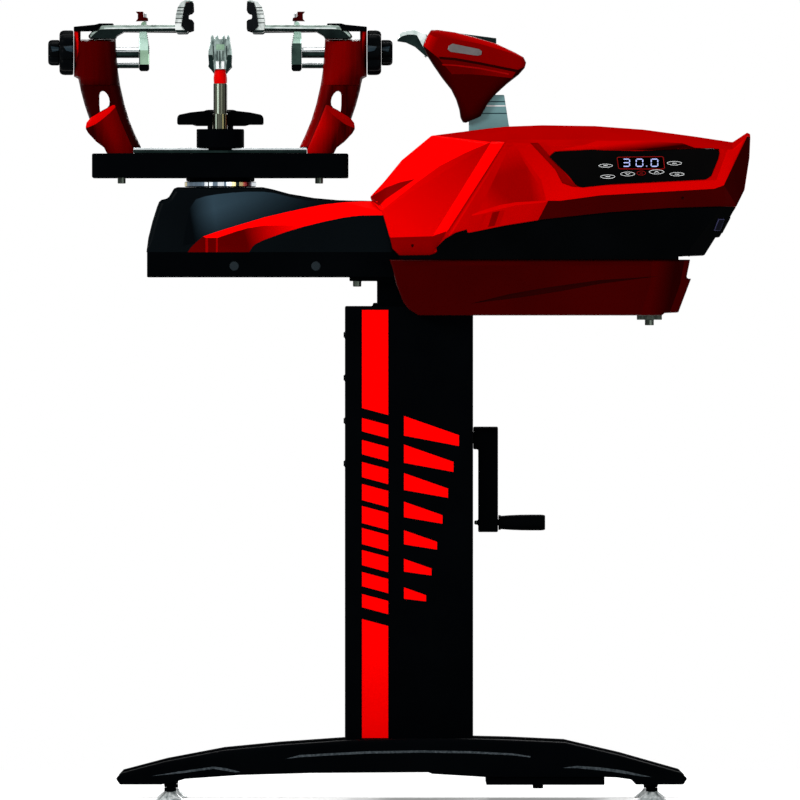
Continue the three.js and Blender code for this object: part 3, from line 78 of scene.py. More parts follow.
# Shader sockets that can be used in sums
class Wire:
    def __init__(self, tree, socket):
        self.tree = tree
        self.socket = socket

    def calc(self, operation, other, turned=False):
        node = self.tree.nodes.new("ShaderNodeMath")
        node.operation = operation
        first, second = (1, 0) if turned else (0, 1)
        self.tree.links.new(self.socket, node.inputs[first])
        if isinstance(other, Wire):
            self.tree.links.new(other.socket, node.inputs[second])
        else:
            node.inputs[second].default_value = other
        return Wire(self.tree, node.outputs[0])

    def __add__(self, other):
        return self.calc("ADD", other)

    def __sub__(self, other):
        return self.calc("SUBTRACT", other)

    def __rsub__(self, other):
        return self.calc("SUBTRACT", other, True)

    def __mul__(self, other):
        return self.calc("MULTIPLY", other)

    __radd__ = __add__
    __rmul__ = __mul__


class Finish:
    def __init__(self, name):
        self.material = bpy.data.materials.new(name)
        self.material.use_nodes = True
        self.tree = self.material.node_tree
        self.tree.nodes.clear()

    def add(self, kind, settings=None, values=None, output=0):
        node = self.tree.nodes.new(kind)
        for key, value in (settings or {}).items():
            if key == "stops":
                for stop, (place, shade) in zip(node.color_ramp.elements, value):
                    stop.position = place
                    stop.color = (shade, shade, shade, 1)
            else:
                setattr(node, key, value)
        for key, value in (values or {}).items():
            if isinstance(value, Wire):
                self.tree.links.new(value.socket, node.inputs[key])
            else:
                node.inputs[key].default_value = value
        return Wire(self.tree, node.outputs[output]) if len(node.outputs) else node

    def blend(self, share, low, high):
        return self.add("ShaderNodeMix", {"data_type": "RGBA"}, {0: share, 6: low, 7: high}, 2)

    def coords(self, stretch=(1, 1, 1)):
        spot = self.add("ShaderNodeTexCoord", output=3)
        return self.add("ShaderNodeMapping", None, {"Vector": spot, "Scale": stretch})


def rgba(colour):
    return (*colour, 1)


noiseSizes = {"fine": 100, "cloudDetail": 4, "grainDetail": 2, "patches": [(0.35, 0), (0.7, 1)], "bump": 0.5}


# Fades paint light and shade as gradients. Each is a pair of photograph places: the second colour at the first place,
# the full colour past the second
def makeFinish(name, colour, wornAndShade, rough, metal=0, specular=0.5, cloud=18, grain=900, depth=0.00006,
               stretch=(1, 1, 1), streak=0.35, glow=None, tint=None, fades=()):
    paint = Finish(name)
    flat = paint.coords()
    drawn = paint.coords(stretch)
    clouds = paint.add("ShaderNodeTexNoise", None, {"Vector": drawn if cloud > noiseSizes["fine"] else flat,
                                                    "Scale": cloud, "Detail": noiseSizes["cloudDetail"]})
    grains = paint.add("ShaderNodeTexNoise", None, {"Vector": drawn, "Scale": grain,
                                                    "Detail": noiseSizes["grainDetail"]})
    patches = paint.add("ShaderNodeValToRGB", {"stops": noiseSizes["patches"]}, {"Fac": clouds})
    wearAndShade = patches * (1 - streak) + grains * streak
    if fades:
        full = 1
        spot = paint.add("ShaderNodeTexCoord", output=3)
        acrossSpot = paint.add("ShaderNodeSeparateXYZ", None, {"Vector": spot})
        levelSpot = paint.add("ShaderNodeSeparateXYZ", None, {"Vector": spot}, 2)
        for fade in fades:
            (ax, az), (bx, bz) = places(fade)
            reach = (bx - ax) ** 2 + (bz - az) ** 2
            share = (acrossSpot - ax) * ((bx - ax) / reach) + (levelSpot - az) * ((bz - az) / reach)
            full = full * share.calc("MAXIMUM", 0).calc("MINIMUM", 1)
        # Where fades are given, painted light and shade take the place of most of the random wear
        wearAndShade = (1 - full) * (1 - streak) + wearAndShade * streak
    values = {"Base Color": paint.blend(wearAndShade, rgba(colour), rgba(wornAndShade)),
              "Roughness": wearAndShade * (rough[1] - rough[0]) + rough[0],
              "Normal": paint.add("ShaderNodeBump", None, {"Strength": noiseSizes["bump"], "Distance": depth,
                                                           "Height": grains}),
              "Metallic": metal, "Specular IOR Level": specular}
    if glow:
        values.update({"Emission Color": rgba(colour), "Emission Strength": glow})
    if tint is not None:
        values["Specular Tint"] = (1, tint, tint, 1)
    shader = paint.add("ShaderNodeBsdfPrincipled", None, values)
    paint.add("ShaderNodeOutputMaterial", None, {"Surface": shader})
    return paint.material


# What the finishes of one kind share
finishFamilies = {
    "redCover": dict(rough=(0.25, 0.35), specular=0.0, cloud=8, grain=700, depth=0.00002, streak=0.1, tint=0),
    "redLower": dict(rough=(0.28, 0.4), specular=0.02, cloud=8, grain=700, depth=0.00002, streak=0.1, tint=0.1),
    "redCap": dict(rough=(0.22, 0.34), specular=0.02, cloud=16, grain=500, depth=0.00003, streak=0.1, tint=0.05),
    "redCast": dict(rough=(0.2, 0.34), specular=0.04, cloud=150, grain=300, depth=0.00003, stretch=(1, 1, 0.06),
        streak=0.12, tint=0.05),
    "black": dict(rough=(0.3, 0.44), specular=0.01, cloud=30, grain=1800, depth=0.00005, streak=0.4),
    "dark": dict(rough=(0.4, 0.55), specular=0.02, cloud=90, depth=0.00002),
    "bright": dict(rough=(0.12, 0.26), metal=1, cloud=60, grain=400, depth=0.00004, stretch=(1, 1, 3), streak=0.1),
    "drawn": dict(rough=(0.18, 0.3), metal=1, cloud=150, grain=700, depth=0.00002, stretch=(1, 1, 0.02), streak=0.5),
    "steel": dict(rough=(0.2, 0.34), metal=1, cloud=50, grain=320, depth=0.00004, stretch=(1, 1, 6), streak=0.5),
    "brass": dict(rough=(0.16, 0.3), metal=1, cloud=150, grain=300, depth=0.00003, stretch=(1, 1, 0.03), streak=0.3),
    "print": dict(rough=(0.4, 0.55), specular=0.1, cloud=120, grain=2000, depth=0.00001),
}

# Each finish: its kind, its full colour and a second colour for wear and for painted light and shade, where one
# number is a plain red, and what differs
finishRows = {
    # The main cover's reds are lit and shaded tones of one red paint: painted light on the facets that face the
    # light, a painted pool of light and painted streaked reflections on the top band
    "redStreakedReflection": ("redCover", 0.43, 0.35, dict(cloud=16, grain=500, stretch=(1, 1, 0.3), streak=0.3,
        rough=(0.2, 0.32))),
    "redLightPool": ("redCover", 0.25, 0.42, dict(cloud=26, grain=500, stretch=(1, 1, 0.3), streak=0.12,
        fades=[((486, 206), (500, 191)), ((508, 148), (514, 172)), ((539, 181), (529, 183))], rough=(0.2, 0.32))),
    "redCrown": ("redCover", 0.4, 0.33, dict(cloud=6)),
    "redLitFacet": ("redCover", 0.95, 0.8, dict(specular=0.02, cloud=6)),
    "redLitGradient": ("redCover", 0.64, 0.34, dict(cloud=5, fades=[((478, 146), (404, 230))])),
    "redLitSide": ("redCover", 0.56, 0.4, dict(cloud=10, streak=0.2, fades=[((530, 143), (545, 198))])),
    # A painted shadow under the top edge above the panel, darkest next to the panel
    "redBrowShadow": ("redCover", 0.5, 0.003, dict(cloud=10, streak=0.05, fades=[((655, 148.6), (654, 140))])),
    "redSeam": ("redCover", 0.4, 0.3, dict(rough=(0.3, 0.4))),
    "redSill": ("redCover", 0.42, 0.34, dict(cloud=12, streak=0.2, rough=(0.3, 0.4))),
    # Painted shade in the folds, on the lower band, on the end wall and in a streak on the bright facet
    "redFoldShade": ("redCover", 0.2, 0.14, dict(rough=(0.3, 0.4))),
    "redLow": ("redLower", 0.036, 0.026, dict(specular=0.03)),
    "redEndShade": ("redLower", 0.02, 0.012),
    "redShadeStreak": ("redLower", 0.2, 0.14, dict(tint=0, rough=(0.3, 0.4))),
    # Painted shade, darker towards the lower housing's right end
    "redShade": ("redLower", 0.038, 0.01, dict(streak=0.05, fades=[((672, 284), (654, 281))])),
    # Painted shade over the flash's lower left, and painted highlights on two ridges there
    "redFlashShade": ("redLower", 0.95, 0.06, dict(cloud=12, depth=0.00001, streak=0.04, tint=0, fades=[((246, 240),
        (308, 225))], rough=(0.3, 0.4))),
    "redRidgeHighlight": ("redCover", 0.26, 0.2, dict(specular=0.1, cloud=12, depth=0.00001, rough=(0.3, 0.4))),
    # Painted shade in grooves and screw recesses
    "redGrooveShade": ("redLower", 0.012, 0.008, dict(specular=0.06, cloud=12, grain=900, rough=(0.35, 0.5))),
    "redBright": ("redCover", 1.0, 0.93, dict(specular=0.05, cloud=12, grain=900, depth=0.00001, rough=(0.4, 0.5))),
    "redDeep": ("redLower", 0.036, 0.026, dict(specular=0.03, cloud=7, grain=600, stretch=(0.4, 1, 2), streak=0.15,
        rough=(0.28, 0.42))),
    # The head cover's reds are lit and shaded tones: a lit hood fading to the right, a painted highlight along the
    # crest, and a shaded vee, darker towards its lower edges
    "redHood": ("redCap", 0.36, 0.15, dict(fades=[((437.5, 41.6), (430, 38))])),
    "redCrestHighlight": ("redCap", 0.42, 0.16, dict(fades=[((476, 47), (479, 38))])),
    "redVee": ("redCap", 0.032, 0.006, dict(streak=0.05, fades=[((445, 90), (456, 84.6)), ((505, 93), (492, 82))],
        rough=(0.28, 0.42))),
    # The towers' reds paint light and shade, as from the left: heads and stems fading darker across, with a painted
    # highlight on each head's flank
    "redTowerLeft": ("redCast", 0.05, 0.006, dict(stretch=(1, 1, 0.04), streak=0.25, fades=[((116, 60), (90, 58)),
        ((98, 87), (98, 78))])),
    "redStemLeft": ("redCast", 0.018, 0.006, dict(cloud=130, streak=0.7, fades=[((128, 100), (108, 108))])),
    "redFlankLeft": ("redCap", 0.5, 0.02, dict(specular=0.04, cloud=60, fades=[((76, 66), (75, 52))],
        rough=(0.2, 0.34))),
    "redTowerRight": ("redCast", 0.15, 0.016, dict(stretch=(1, 1, 0.04), streak=0.25, fades=[((362, 58), (341, 56)),
        ((347, 87), (337, 76))])),
    "redStemRight": ("redCast", 0.34, 0.005, dict(cloud=130, fades=[((330, 91), (317, 87)), ((322, 30),
        (310, 130))])),
    "redFlankRight": ("redCap", 0.3, 0.02, dict(specular=0.04, cloud=60, fades=[((364, 60), (365, 40))],
        rough=(0.2, 0.34))),
    # The boots' painted light and shade
    "redBootLeft": ("redCast", 0.12, 0.008, dict(streak=0.15, fades=[((96, 137.4), (110, 132)), ((138, 128),
        (116, 136))])),
    "redBootRight": ("redCast", 0.42, 0.01, dict(fades=[((336, 137), (317, 130)), ((338, 96), (322, 124))])),
    # A darker band under the head cover's groove, and a painted glint line
    "redUnder": ("redCap", 0.14, 0.078, dict(fades=[((470, 69), (500, 73))], rough=(0.25, 0.36))),
    "redGlint": ("redCap", (0.34, 0.005, 0.005), 0.2, dict(specular=0.04, tint=0.2, rough=(0.25, 0.36))),
    # Painted highlights on the boots' rims and upward faces
    "redRimLeft": ("redCap", 0.62, 0.4, dict(specular=0.04, cloud=30, tint=0.1)),
    "redRimRight": ("redCap", 0.24, 0.14, dict(specular=0.04, cloud=30, tint=0.1)),
    "redWarmPlain": ("redCover", 0.62, 0.5, dict(specular=0.15, cloud=60, rough=(0.3, 0.4))),
    "redMoulded": ("print", 0.034, 0.022, dict(specular=0.04, cloud=60, grain=1500, depth=0.00004, tint=0.1)),
    "blackPowder": ("dark", (0.0003, 0.0005, 0.0008), (0.0008, 0.0012, 0.0016), dict(specular=0.002, cloud=14,
        grain=1400, depth=0.00008, streak=0.5)),
    # Painted sheen lines along the base rails' ridges
    "blackRailSheen": ("dark", (0.003, 0.006, 0.008), (0.075, 0.09, 0.1), dict(specular=0.002, cloud=260, grain=1100,
        depth=0.0001, streak=0.5)),
    "blackMoulded": ("black", (0.0003, 0.0005, 0.0006), (0.0008, 0.0011, 0.0014), dict(specular=0.004, cloud=12)),
    "blackKnob": ("black", (0.0003, 0.0006, 0.0009), (0.0009, 0.0015, 0.002), dict(specular=0.012)),
    # A painted sheen on the knobs' lobes
    "knobSheen": ("black", (0.016, 0.028, 0.037), (0.006, 0.012, 0.016), dict(specular=0.02)),
    "blackSheen": ("black", (0.0009, 0.0016, 0.0022), (0.0014, 0.0026, 0.0034), dict(cloud=8, grain=1500,
        depth=0.00003, streak=0.3, rough=(0.3, 0.4))),
    # A painted sheen on the front cover's black top, fading out at its edges
    "sheenSoft": ("black", (0.022, 0.043, 0.06), (0.0006, 0.0012, 0.0017), dict(specular=0.006, cloud=5, grain=1500,
        depth=0.00003, streak=0.015, fades=[((190, 214), (214, 210)), ((335, 208), (214, 208)), ((254, 233),
        (243, 200))], rough=(0.3, 0.4))),
    "blackGloss": ("print", (0.0005, 0.0005, 0.0006), (0.0012, 0.001, 0.001), dict(specular=0.015, cloud=20,
        grain=300, streak=0.1, rough=(0.08, 0.16))),
    "rubber": ("dark", (0.0016, 0.002, 0.0026), (0.005, 0.006, 0.007), dict(grain=2500, depth=0.0001, streak=0.5,
        rough=(0.62, 0.8))),
    "chrome": ("bright", (0.9, 0.95, 0.93), (0.2, 0.26, 0.24)),
    "noseBright": ("bright", (0.9, 0.96, 0.95), (0.4, 0.52, 0.48), dict(cloud=90, depth=0.00002,
        stretch=(1, 1, 2.2))),
    "chromeDull": ("bright", (0.4, 0.5, 0.45), (0.1, 0.14, 0.12), dict(cloud=110, stretch=(0.5, 0.5, 2))),
    "steel": ("steel", (0.74, 0.78, 0.79), (0.3, 0.34, 0.35), dict(cloud=30, grain=260, depth=0.00003,
        stretch=(1, 1, 9))),
    # Painted reflection bands on the bearing ring
    "steelReflectionBands": ("drawn", (0.16, 0.22, 0.28), (0.09, 0.13, 0.17)),
    "ringReflectionLight": ("drawn", (0.8, 0.84, 0.88), (0.6, 0.66, 0.7)),
    "ringReflectionCream": ("drawn", (0.6, 0.52, 0.26), (0.4, 0.33, 0.14)),
    # Painted reflection: upright light and dark streaks on the feet's chrome
    "footChromeReflections": ("steel", (0.95, 1.0, 1.0), (0.14, 0.18, 0.18), dict(metal=0.2, specular=0.3, cloud=190, grain=500,
        depth=0.00003, stretch=(1, 1, 0.1), streak=0.1)),
    "steelDark": ("bright", (0.07, 0.085, 0.07), (0.01, 0.014, 0.012), dict(cloud=190, grain=700, stretch=(1, 1, 0.1),
        streak=0.2, rough=(0.25, 0.42))),
    # Dark steel: painted shade and dark reflection bands on the steel parts; the string jaw is all of it
    "steelShade": ("steel", (0.012, 0.024, 0.022), (0.004, 0.008, 0.008), dict(cloud=60, grain=700, stretch=(1, 1, 1),
        streak=0.3)),
    "steelGreen": ("steel", (0.36, 0.55, 0.4), (0.14, 0.24, 0.16)),
    # Painted shade on the side arms' roots and undersides
    "steelLeafShade": ("steel", (0.01, 0.018, 0.017), (0.003, 0.005, 0.005), dict(cloud=40, stretch=(1, 1, 1),
        streak=0.3)),
    # A shaded copy of the support blocks' green for the right block, and a painted highlight for the blocks' upper
    # parts
    "steelGreenShaded": ("steel", (0.045, 0.085, 0.07), (0.012, 0.022, 0.02), dict(streak=0.3)),
    "steelMintHighlight": ("steel", (0.62, 0.85, 0.74), (0.3, 0.5, 0.4)),
    "clampSteel": ("brass", (0.36, 0.46, 0.43), (0.012, 0.028, 0.028), dict(cloud=210, grain=600, depth=0.0001,
        stretch=(1, 1, 0.4), streak=0.15)),
    "brassGrey": ("brass", (0.085, 0.09, 0.07), (0.06, 0.066, 0.045)),
    # Painted reflection bands on the clamp posts
    "brassReflectionLight": ("brass", (0.46, 0.56, 0.46), (0.3, 0.36, 0.28)),
    "brassReflectionPale": ("brass", (0.2, 0.18, 0.085), (0.12, 0.11, 0.05)),
    "brassReflectionDark": ("brass", (0.012, 0.013, 0.008), (0.004, 0.004, 0.003)),
    "greyCast": ("black", (0.15, 0.29, 0.3), (0.12, 0.24, 0.25), dict(metal=0.2, specular=0.1, cloud=20, grain=900,
        streak=0.3, rough=(0.4, 0.5))),
    "greyLine": ("dark", (0.01, 0.04, 0.05), (0.006, 0.03, 0.035), dict(specular=0.1, cloud=20, rough=(0.5, 0.6))),
    "greyPlug": ("dark", (0.0105, 0.0155, 0.019), (0.008, 0.012, 0.015), dict(specular=0.04, cloud=80, grain=1200,
        depth=0.00004, rough=(0.45, 0.6))),
    "badge": ("dark", (0.13, 0.12, 0.12), (0.08, 0.07, 0.07), dict(metal=0.6, specular=0.5, cloud=60,
        stretch=(8, 1, 1), rough=(0.3, 0.4))),
    "whitePrint": ("print", (0.8, 0.82, 0.82), (0.6, 0.62, 0.62), dict(rough=(0.45, 0.6))),
    "redPrint": ("print", 0.3, 0.2),
    "displayBlue": ("print", (0.4, 0.45, 0.8), (0.32, 0.38, 0.72), dict(cloud=200, glow=0.3, rough=(0.3, 0.4))),
    "switchBlue": ("dark", (0.0008, 0.0008, 0.004), (0.002, 0.002, 0.008), dict(rough=(0.18, 0.3))),
    "switchEdge": ("dark", (0.05, 0.05, 0.12), (0.02, 0.02, 0.05), dict(specular=0.03, cloud=300, rough=(0.18, 0.3))),
    "board": ("dark", (0.01, 0.1, 0.03), (0.02, 0.16, 0.05), dict(specular=0.5, cloud=250, depth=0.0001,
        rough=(0.3, 0.45))),
}
finishes = {}
for name, (family, full, wornAndShade, *changes) in finishRows.items():
    shades = [shade if isinstance(shade, tuple) else (shade, 0, 0) for shade in (full, wornAndShade)]
    finishes[name] = makeFinish(name, *shades, **{**finishFamilies[family], **dict(*changes)})
print("finishes made:", len(finishes))

# Mesh tools. Tiny, fine, small and plain are edge roundings that many pieces share
weld = 0.00001
sliver = 0.000001
shortest = 0.0001
flatAngle = 0.6
facingLeast = 0.3
tiny = 0.0006
fine = 0.0008
small = 0.001
plain = 0.0012


def welded(bm, distance=weld):
    bmesh.ops.remove_doubles(bm, verts=bm.verts, dist=distance)
    return bm


def shapeFrom(node):
    bm = bmesh.new()
    bm.from_mesh(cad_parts[node].data)
    bmesh.ops.dissolve_limit(welded(bm), angle_limit=radians(flatAngle), verts=bm.verts, edges=bm.edges)
    return bm


def middleOf(edge):
    return (edge.verts[0].co + edge.verts[1].co) / 2


def soften(bm, width, segments=2, angle=32, where=None):
    sharp = [e for e in bm.edges if e.is_manifold and e.calc_face_angle(0) > radians(angle)
             and (where is None or where(e))]
    if sharp:
        bmesh.ops.bevel(bm, geom=sharp, offset=width, offset_type="OFFSET", affect="EDGES", segments=segments,
                        profile=0.5, material=-1, clamp_overlap=False)
        welded(bm, 2 * weld)


def closed(bm):
    bmesh.ops.recalc_face_normals(bm, faces=welded(bm).faces)
    return bm


# Splits a shape along a plane. Where it is cut, what lies past the plane goes and the opening is filled
def split(bm, place, way, cut=False, distance=weld):
    bmesh.ops.bisect_plane(bm, geom=list(bm.verts) + list(bm.edges) + list(bm.faces), dist=distance, plane_co=place,
                           plane_no=way, clear_outer=cut)
    if cut:
        bmesh.ops.holes_fill(bm, edges=[e for e in bm.edges if e.is_boundary])
        bmesh.ops.recalc_face_normals(bm, faces=bm.faces)


def thicken(bm, faces, deep):
    grown = bmesh.ops.extrude_face_region(bm, geom=faces)["geom"]
    bmesh.ops.translate(bm, verts=[g for g in grown if isinstance(g, bmesh.types.BMVert)], vec=(0, deep, 0))
    return closed(bm)


# A plate from its side outline, between two depths
def slab(outline, near, far, bm=None):
    bm = bm or bmesh.new()
    return thicken(bm, [bm.faces.new([bm.verts.new((x, near, z)) for x, z in outline])], far - near)


# The same from photograph places, to both sides of the middle plane and with rounded edges
def plate(outline, half, edge=0, segments=2):
    bm = slab(places(outline), -half, half)
    if edge:
        soften(bm, edge, segments)
    return bm


# A plate with an opening in it
def openSlab(outlines, near, far):
    bm = bmesh.new()
    edges = []
    for outline in outlines:
        corners = [bm.verts.new((x, near, z)) for x, z in outline]
        edges += [bm.edges.new((corners[i - 1], corners[i])) for i in range(len(corners))]
    filled = bmesh.ops.triangle_fill(bm, use_beauty=True, use_dissolve=False, edges=edges, normal=(0, -1, 0))["geom"]
    return thicken(bm, [f for f in filled if isinstance(f, bmesh.types.BMFace)], far - near)


# A round piece from radius and height, stood on a place along an axis
def turnedShape(profile, place, axis=(0, 0, 1), steps=40, bm=None):
    bm = bm or bmesh.new()
    before = set(bm.verts)
    corners = [bm.verts.new((radius, 0, height)) for radius, height in profile]
    edges = [bm.edges.new(pair) for pair in zip(corners, corners[1:])]
    bmesh.ops.spin(bm, geom=corners + edges, cent=(0, 0, 0), axis=(0, 0, 1), angle=2 * pi, steps=steps,
                   use_merge=True)
    turn = Vector((0, 0, 1)).rotation_difference(Vector(axis)).to_matrix().to_4x4()
    bmesh.ops.transform(bm, matrix=Matrix.Translation(place) @ turn, verts=[v for v in bm.verts if v not in before])
    return closed(bm)


# A block turned about the y axis
def addBox(bm, place, size, turn=0):
    made = bmesh.ops.create_cube(bm, size=1)["verts"]
    bmesh.ops.transform(bm, matrix=Matrix.Translation(place) @ Matrix.Rotation(turn, 4, "Y")
                        @ Matrix.Diagonal((*size, 1)), verts=made)


# Places where an outline crosses a height
def crossings(outline, z):
    for i, (ax, az) in enumerate(outline):
        bx, bz = outline[i - 1]
        if (az > z) != (bz > z):
            yield ax + (bx - ax) * (z - az) / (bz - az)


def inside(outline, spot):
    return sum(spot.x < x for x in crossings(outline, spot.z)) % 2 == 1


def paintWhere(bm, index, test):
    for face in bm.faces:
        if test(face.calc_center_median(), face.normal):
            face.material_index = index


# A region of photograph places on both sides gets another finish, cut cleanly along its outline. Faces count
# from a depth on. The region is sunk or raised where a height is given
def dress(bm, outline, index, height=0.0, depth=0.001, rim=0.0004, sides=(-1, 1)):
    outline = places(outline)
    for side in sides:
        def facing(face):
            return face.normal.y * side > facingLeast and face.calc_center_median().y * side > depth

        for i, (ax, az) in enumerate(outline):
            bx, bz = outline[i - 1]
            if hypot(ax - bx, az - bz) < shortest:
                continue
            faces = [f for f in bm.faces if facing(f)]
            edges = list({e for f in faces for e in f.edges})
            verts = list({v for f in faces for v in f.verts})
            bmesh.ops.bisect_plane(bm, geom=verts + edges + faces, dist=sliver, plane_co=(ax, 0, az),
                                   plane_no=(bz - az, 0, ax - bx))
        region = [f for f in bm.faces if facing(f) and inside(outline, f.calc_center_median())]
        for face in region:
            face.material_index = index
        if height and region:
            bmesh.ops.inset_region(bm, faces=region, thickness=rim, depth=height, use_even_offset=True)


# Rounds a plate towards its left and right edges as a casting is, down to a share of its depth there
def swell(bm, outline, half, edge, least, step=0.0034):
    outline = places(outline)
    for axis in (0, 2):
        spots = [point[axis // 2] for point in outline]
        place = min(spots) + step
        while place < max(spots):
            centre, way = Vector((0, 0, 0)), Vector((0, 0, 0))
            centre[axis], way[axis] = place, 1
            split(bm, centre, way, distance=sliver)
            place += step
    bmesh.ops.triangulate(bm, faces=[f for f in bm.faces if len(f.verts) > 4])
    top, foot = max(spots) - 4 * weld, min(spots) + 4 * weld
    for vert in bm.verts:
        span = list(crossings(outline, min(top, max(foot, vert.co.z))))
        near = max(0, min(vert.co.x - min(span), max(span) - vert.co.x, edge)) / edge
        bulge = (1 - (1 - near) ** 2) ** 0.5
        vert.co.y = (1 if vert.co.y > 0 else -1) * half * (least + (1 - least) * bulge)
    return closed(bm)


def oval(cx, cz, halfX, halfZ, steps=28):
    return [(cx + halfX * cos(2 * pi * i / steps), cz + halfZ * sin(2 * pi * i / steps)) for i in range(steps)]


def oblong(left, top, right, foot):
    return [(left, top), (right, top), (right, foot), (left, foot)]


# Mirrors a shape along an axis about a middle
def mirrorAll(bm, axis, middle):
    turn = Matrix.Identity(4)
    turn[axis][axis] = -1
    shift = Matrix.Translation((2 * middle if axis == 0 else 0, 0, 0))
    bmesh.ops.transform(bm, matrix=shift @ turn, verts=bm.verts)
    bmesh.ops.reverse_faces(bm, faces=bm.faces)


def addPiece(name, bm, body, looks, replaced=(), angle=32, mirror=None):
    if mirror:
        mirrorAll(bm, *mirror)
    bm.normal_update()
    mesh = bpy.data.meshes.new(name)
    bm.to_mesh(mesh)
    bm.free()
    for look in looks:
        mesh.materials.append(finishes[look])
    mesh.shade_smooth()
    mesh.set_sharp_from_angle(angle=radians(angle))
    piece = bpy.data.objects.new(name, mesh)
    scene.collection.objects.link(piece)
    weighted = piece.modifiers.new("evenNormals", "WEIGHTED_NORMAL")
    weighted.keep_sharp = True
    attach(piece, body)
    if replaced:
        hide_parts(*replaced)


# A piece that keeps its solid's shape, with rounded edges
def softPiece(name, node, edge, body, look, segments=2):
    bm = shapeFrom(node)
    soften(bm, edge, segments)
    addPiece(name, bm, body, [look], [node])


# Stand
baseSizes = {
    "ridge": 0.009, "edge": 0.0018, "railInner": 0.199, "ridgeFoot": 0.045, "upward": 0.5,
    # Painted sheen lines along the rails' ridges
    "sheenDepth": 0.25,
    "sheens": [[(286, 757.4), (300, 753.6), (330, 751.8), (368, 749.9), (421, 749), (470, 749.8), (512, 752),
        (530, 754.8), (530, 756), (512, 753.8), (470, 751.9), (421, 751.2), (368, 752.2), (330, 754), (300, 755.8)],
        [(152, 774.6), (180, 770), (214, 765.2), (226, 766.6), (241, 770.4), (236, 770.8), (214, 767.4),
        (185, 771.4)], [(562, 766.4), (576, 764.4), (600, 766), (622, 769), (650, 775.4), (640, 774.8), (610, 770),
        (576, 766.6)]]}


def baseFrame():
    bm = shapeFrom("base_frame")
    soften(bm, baseSizes["ridge"], 4, 60, lambda e: abs(middleOf(e).y) > baseSizes["railInner"]
           and middleOf(e).z > baseSizes["ridgeFoot"] and abs((e.verts[0].co - e.verts[1].co).y) < small
           and any(f.normal.z > baseSizes["upward"] for f in e.link_faces))
    soften(bm, baseSizes["edge"])
    # Painted sheen lines
    for sheen in baseSizes["sheens"]:
        dress(bm, sheen, 1, 0, baseSizes["sheenDepth"])
    addPiece("baseFrame", bm, "stand", ["blackPowder", "blackRailSheen"], ["base_frame"])
    softPiece("ballastPlate", "ballast_plate", plain, "stand", "blackPowder")


footSizes = {
    "pad": [(0, 0), (0.0225, 0), (0.024, 0.0008), (0.024, 0.0016), (0.0228, 0.0022), (0.0118, 0.0115),
        (0.0098, 0.0145), (0.0085, 0.015), (0.0055, 0.015)],
    "threadTop": 0.037, "threadPitch": 0.0012, "threadDepth": 0.0004, "threadEnd": 0.0006, "stem": 0.0055,
    "nutRadius": 0.0105, "nutFoot": 0.0158, "nutTop": 0.0215, "neck": 0.0152}


def levellingFeet():
    stem, pitch, top = footSizes["stem"], footSizes["threadPitch"], footSizes["threadTop"]
    root, end = stem - footSizes["threadDepth"], top + footSizes["threadEnd"]
    nutFoot, nutTop, radius = footSizes["nutFoot"], footSizes["nutTop"], footSizes["nutRadius"]
    profile = list(footSizes["pad"])
    height = nutFoot
    while height < top:
        profile += [(stem, height), (root, height + pitch / 2)]
        height += pitch
    profile += [(root, end), (0, end)]
    for foot in ("foot_front_left", "foot_front_right", "foot_rear_left", "foot_rear_right"):
        low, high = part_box(foot)
        middle = (low + high) / 2
        bm = turnedShape(profile, (middle.x, middle.y, 0), steps=36)
        nut = bmesh.ops.create_cone(bm, cap_ends=True, segments=6, radius1=radius, radius2=radius,
                                    depth=nutTop - nutFoot)
        bmesh.ops.translate(bm, verts=nut["verts"], vec=(middle.x, middle.y, (nutTop + nutFoot) / 2))
        paintWhere(bm, 1, lambda spot, way: spot.z > footSizes["neck"])
        # The foot's chrome carries painted reflection streaks
        addPiece(foot + "Turned", bm, foot, ["footChromeReflections", "blackPowder"], [foot])


baseFrame()
levellingFeet()

# Column, with its printed stripe and bars
printSizes = {
    "stripe": (362, 388.2), "top": 310, "foot": 738, "barTop": 418, "barFoot": 616, "bars": 9, "barGap": 5,
    "barSpace": 3, "barTaper": 0.055, "slant": 7, "blade": (404, 459), "bladeTop": 416, "bladeFoot": 616,
    "blades": 7, "bladeGap": 9, "bladeInset": 0.1, "bladeSlant": 0.35, "bladeTaper": 0.07, "bladeEnd": 0.55}
columnSizes = {"edge": 0.0022, "face": 0.058, "seatNear": 0.001, "seatSink": 0.0004, "boltDepth": 0.0005,
               "bolt": (350.5, 280.8, 362, 287)}


def columnPrint():
    sizes = printSizes
    left, right = sizes["stripe"]
    slant = sizes["slant"]
    high, low = sizes["barTop"] - sizes["barSpace"], sizes["barFoot"] + sizes["barSpace"]
    regions = [[(left, sizes["top"]), (right, sizes["top"]), (right, high), (left, high - slant)],
               [(left, low), (right, low + slant), (right, sizes["foot"]), (left, sizes["foot"])]]
    pitch = (sizes["barFoot"] - sizes["barTop"]) / sizes["bars"]
    for i in range(sizes["bars"]):
        top = sizes["barTop"] + i * pitch
        tall = (pitch - sizes["barGap"]) * (1 - sizes["barTaper"] * abs(i - sizes["bars"] // 2))
        regions.append([(left, top), (right, top + slant), (right, top + slant + tall), (left, top + tall)])
    left, right = sizes["blade"]
    pitch = (sizes["bladeFoot"] - sizes["bladeTop"]) / sizes["blades"]
    for i in range(sizes["blades"]):
        top = sizes["bladeTop"] + i * pitch
        end = right - (right - left) * sizes["bladeInset"] * i
        fall = top + sizes["bladeSlant"] * (end - left)
        tall = (pitch - sizes["bladeGap"]) * (1 - sizes["bladeTaper"] * i)
        regions.append([(left, top), (end, fall), (end, fall + sizes["bladeEnd"] * tall), (left, top + tall)])
    return regions


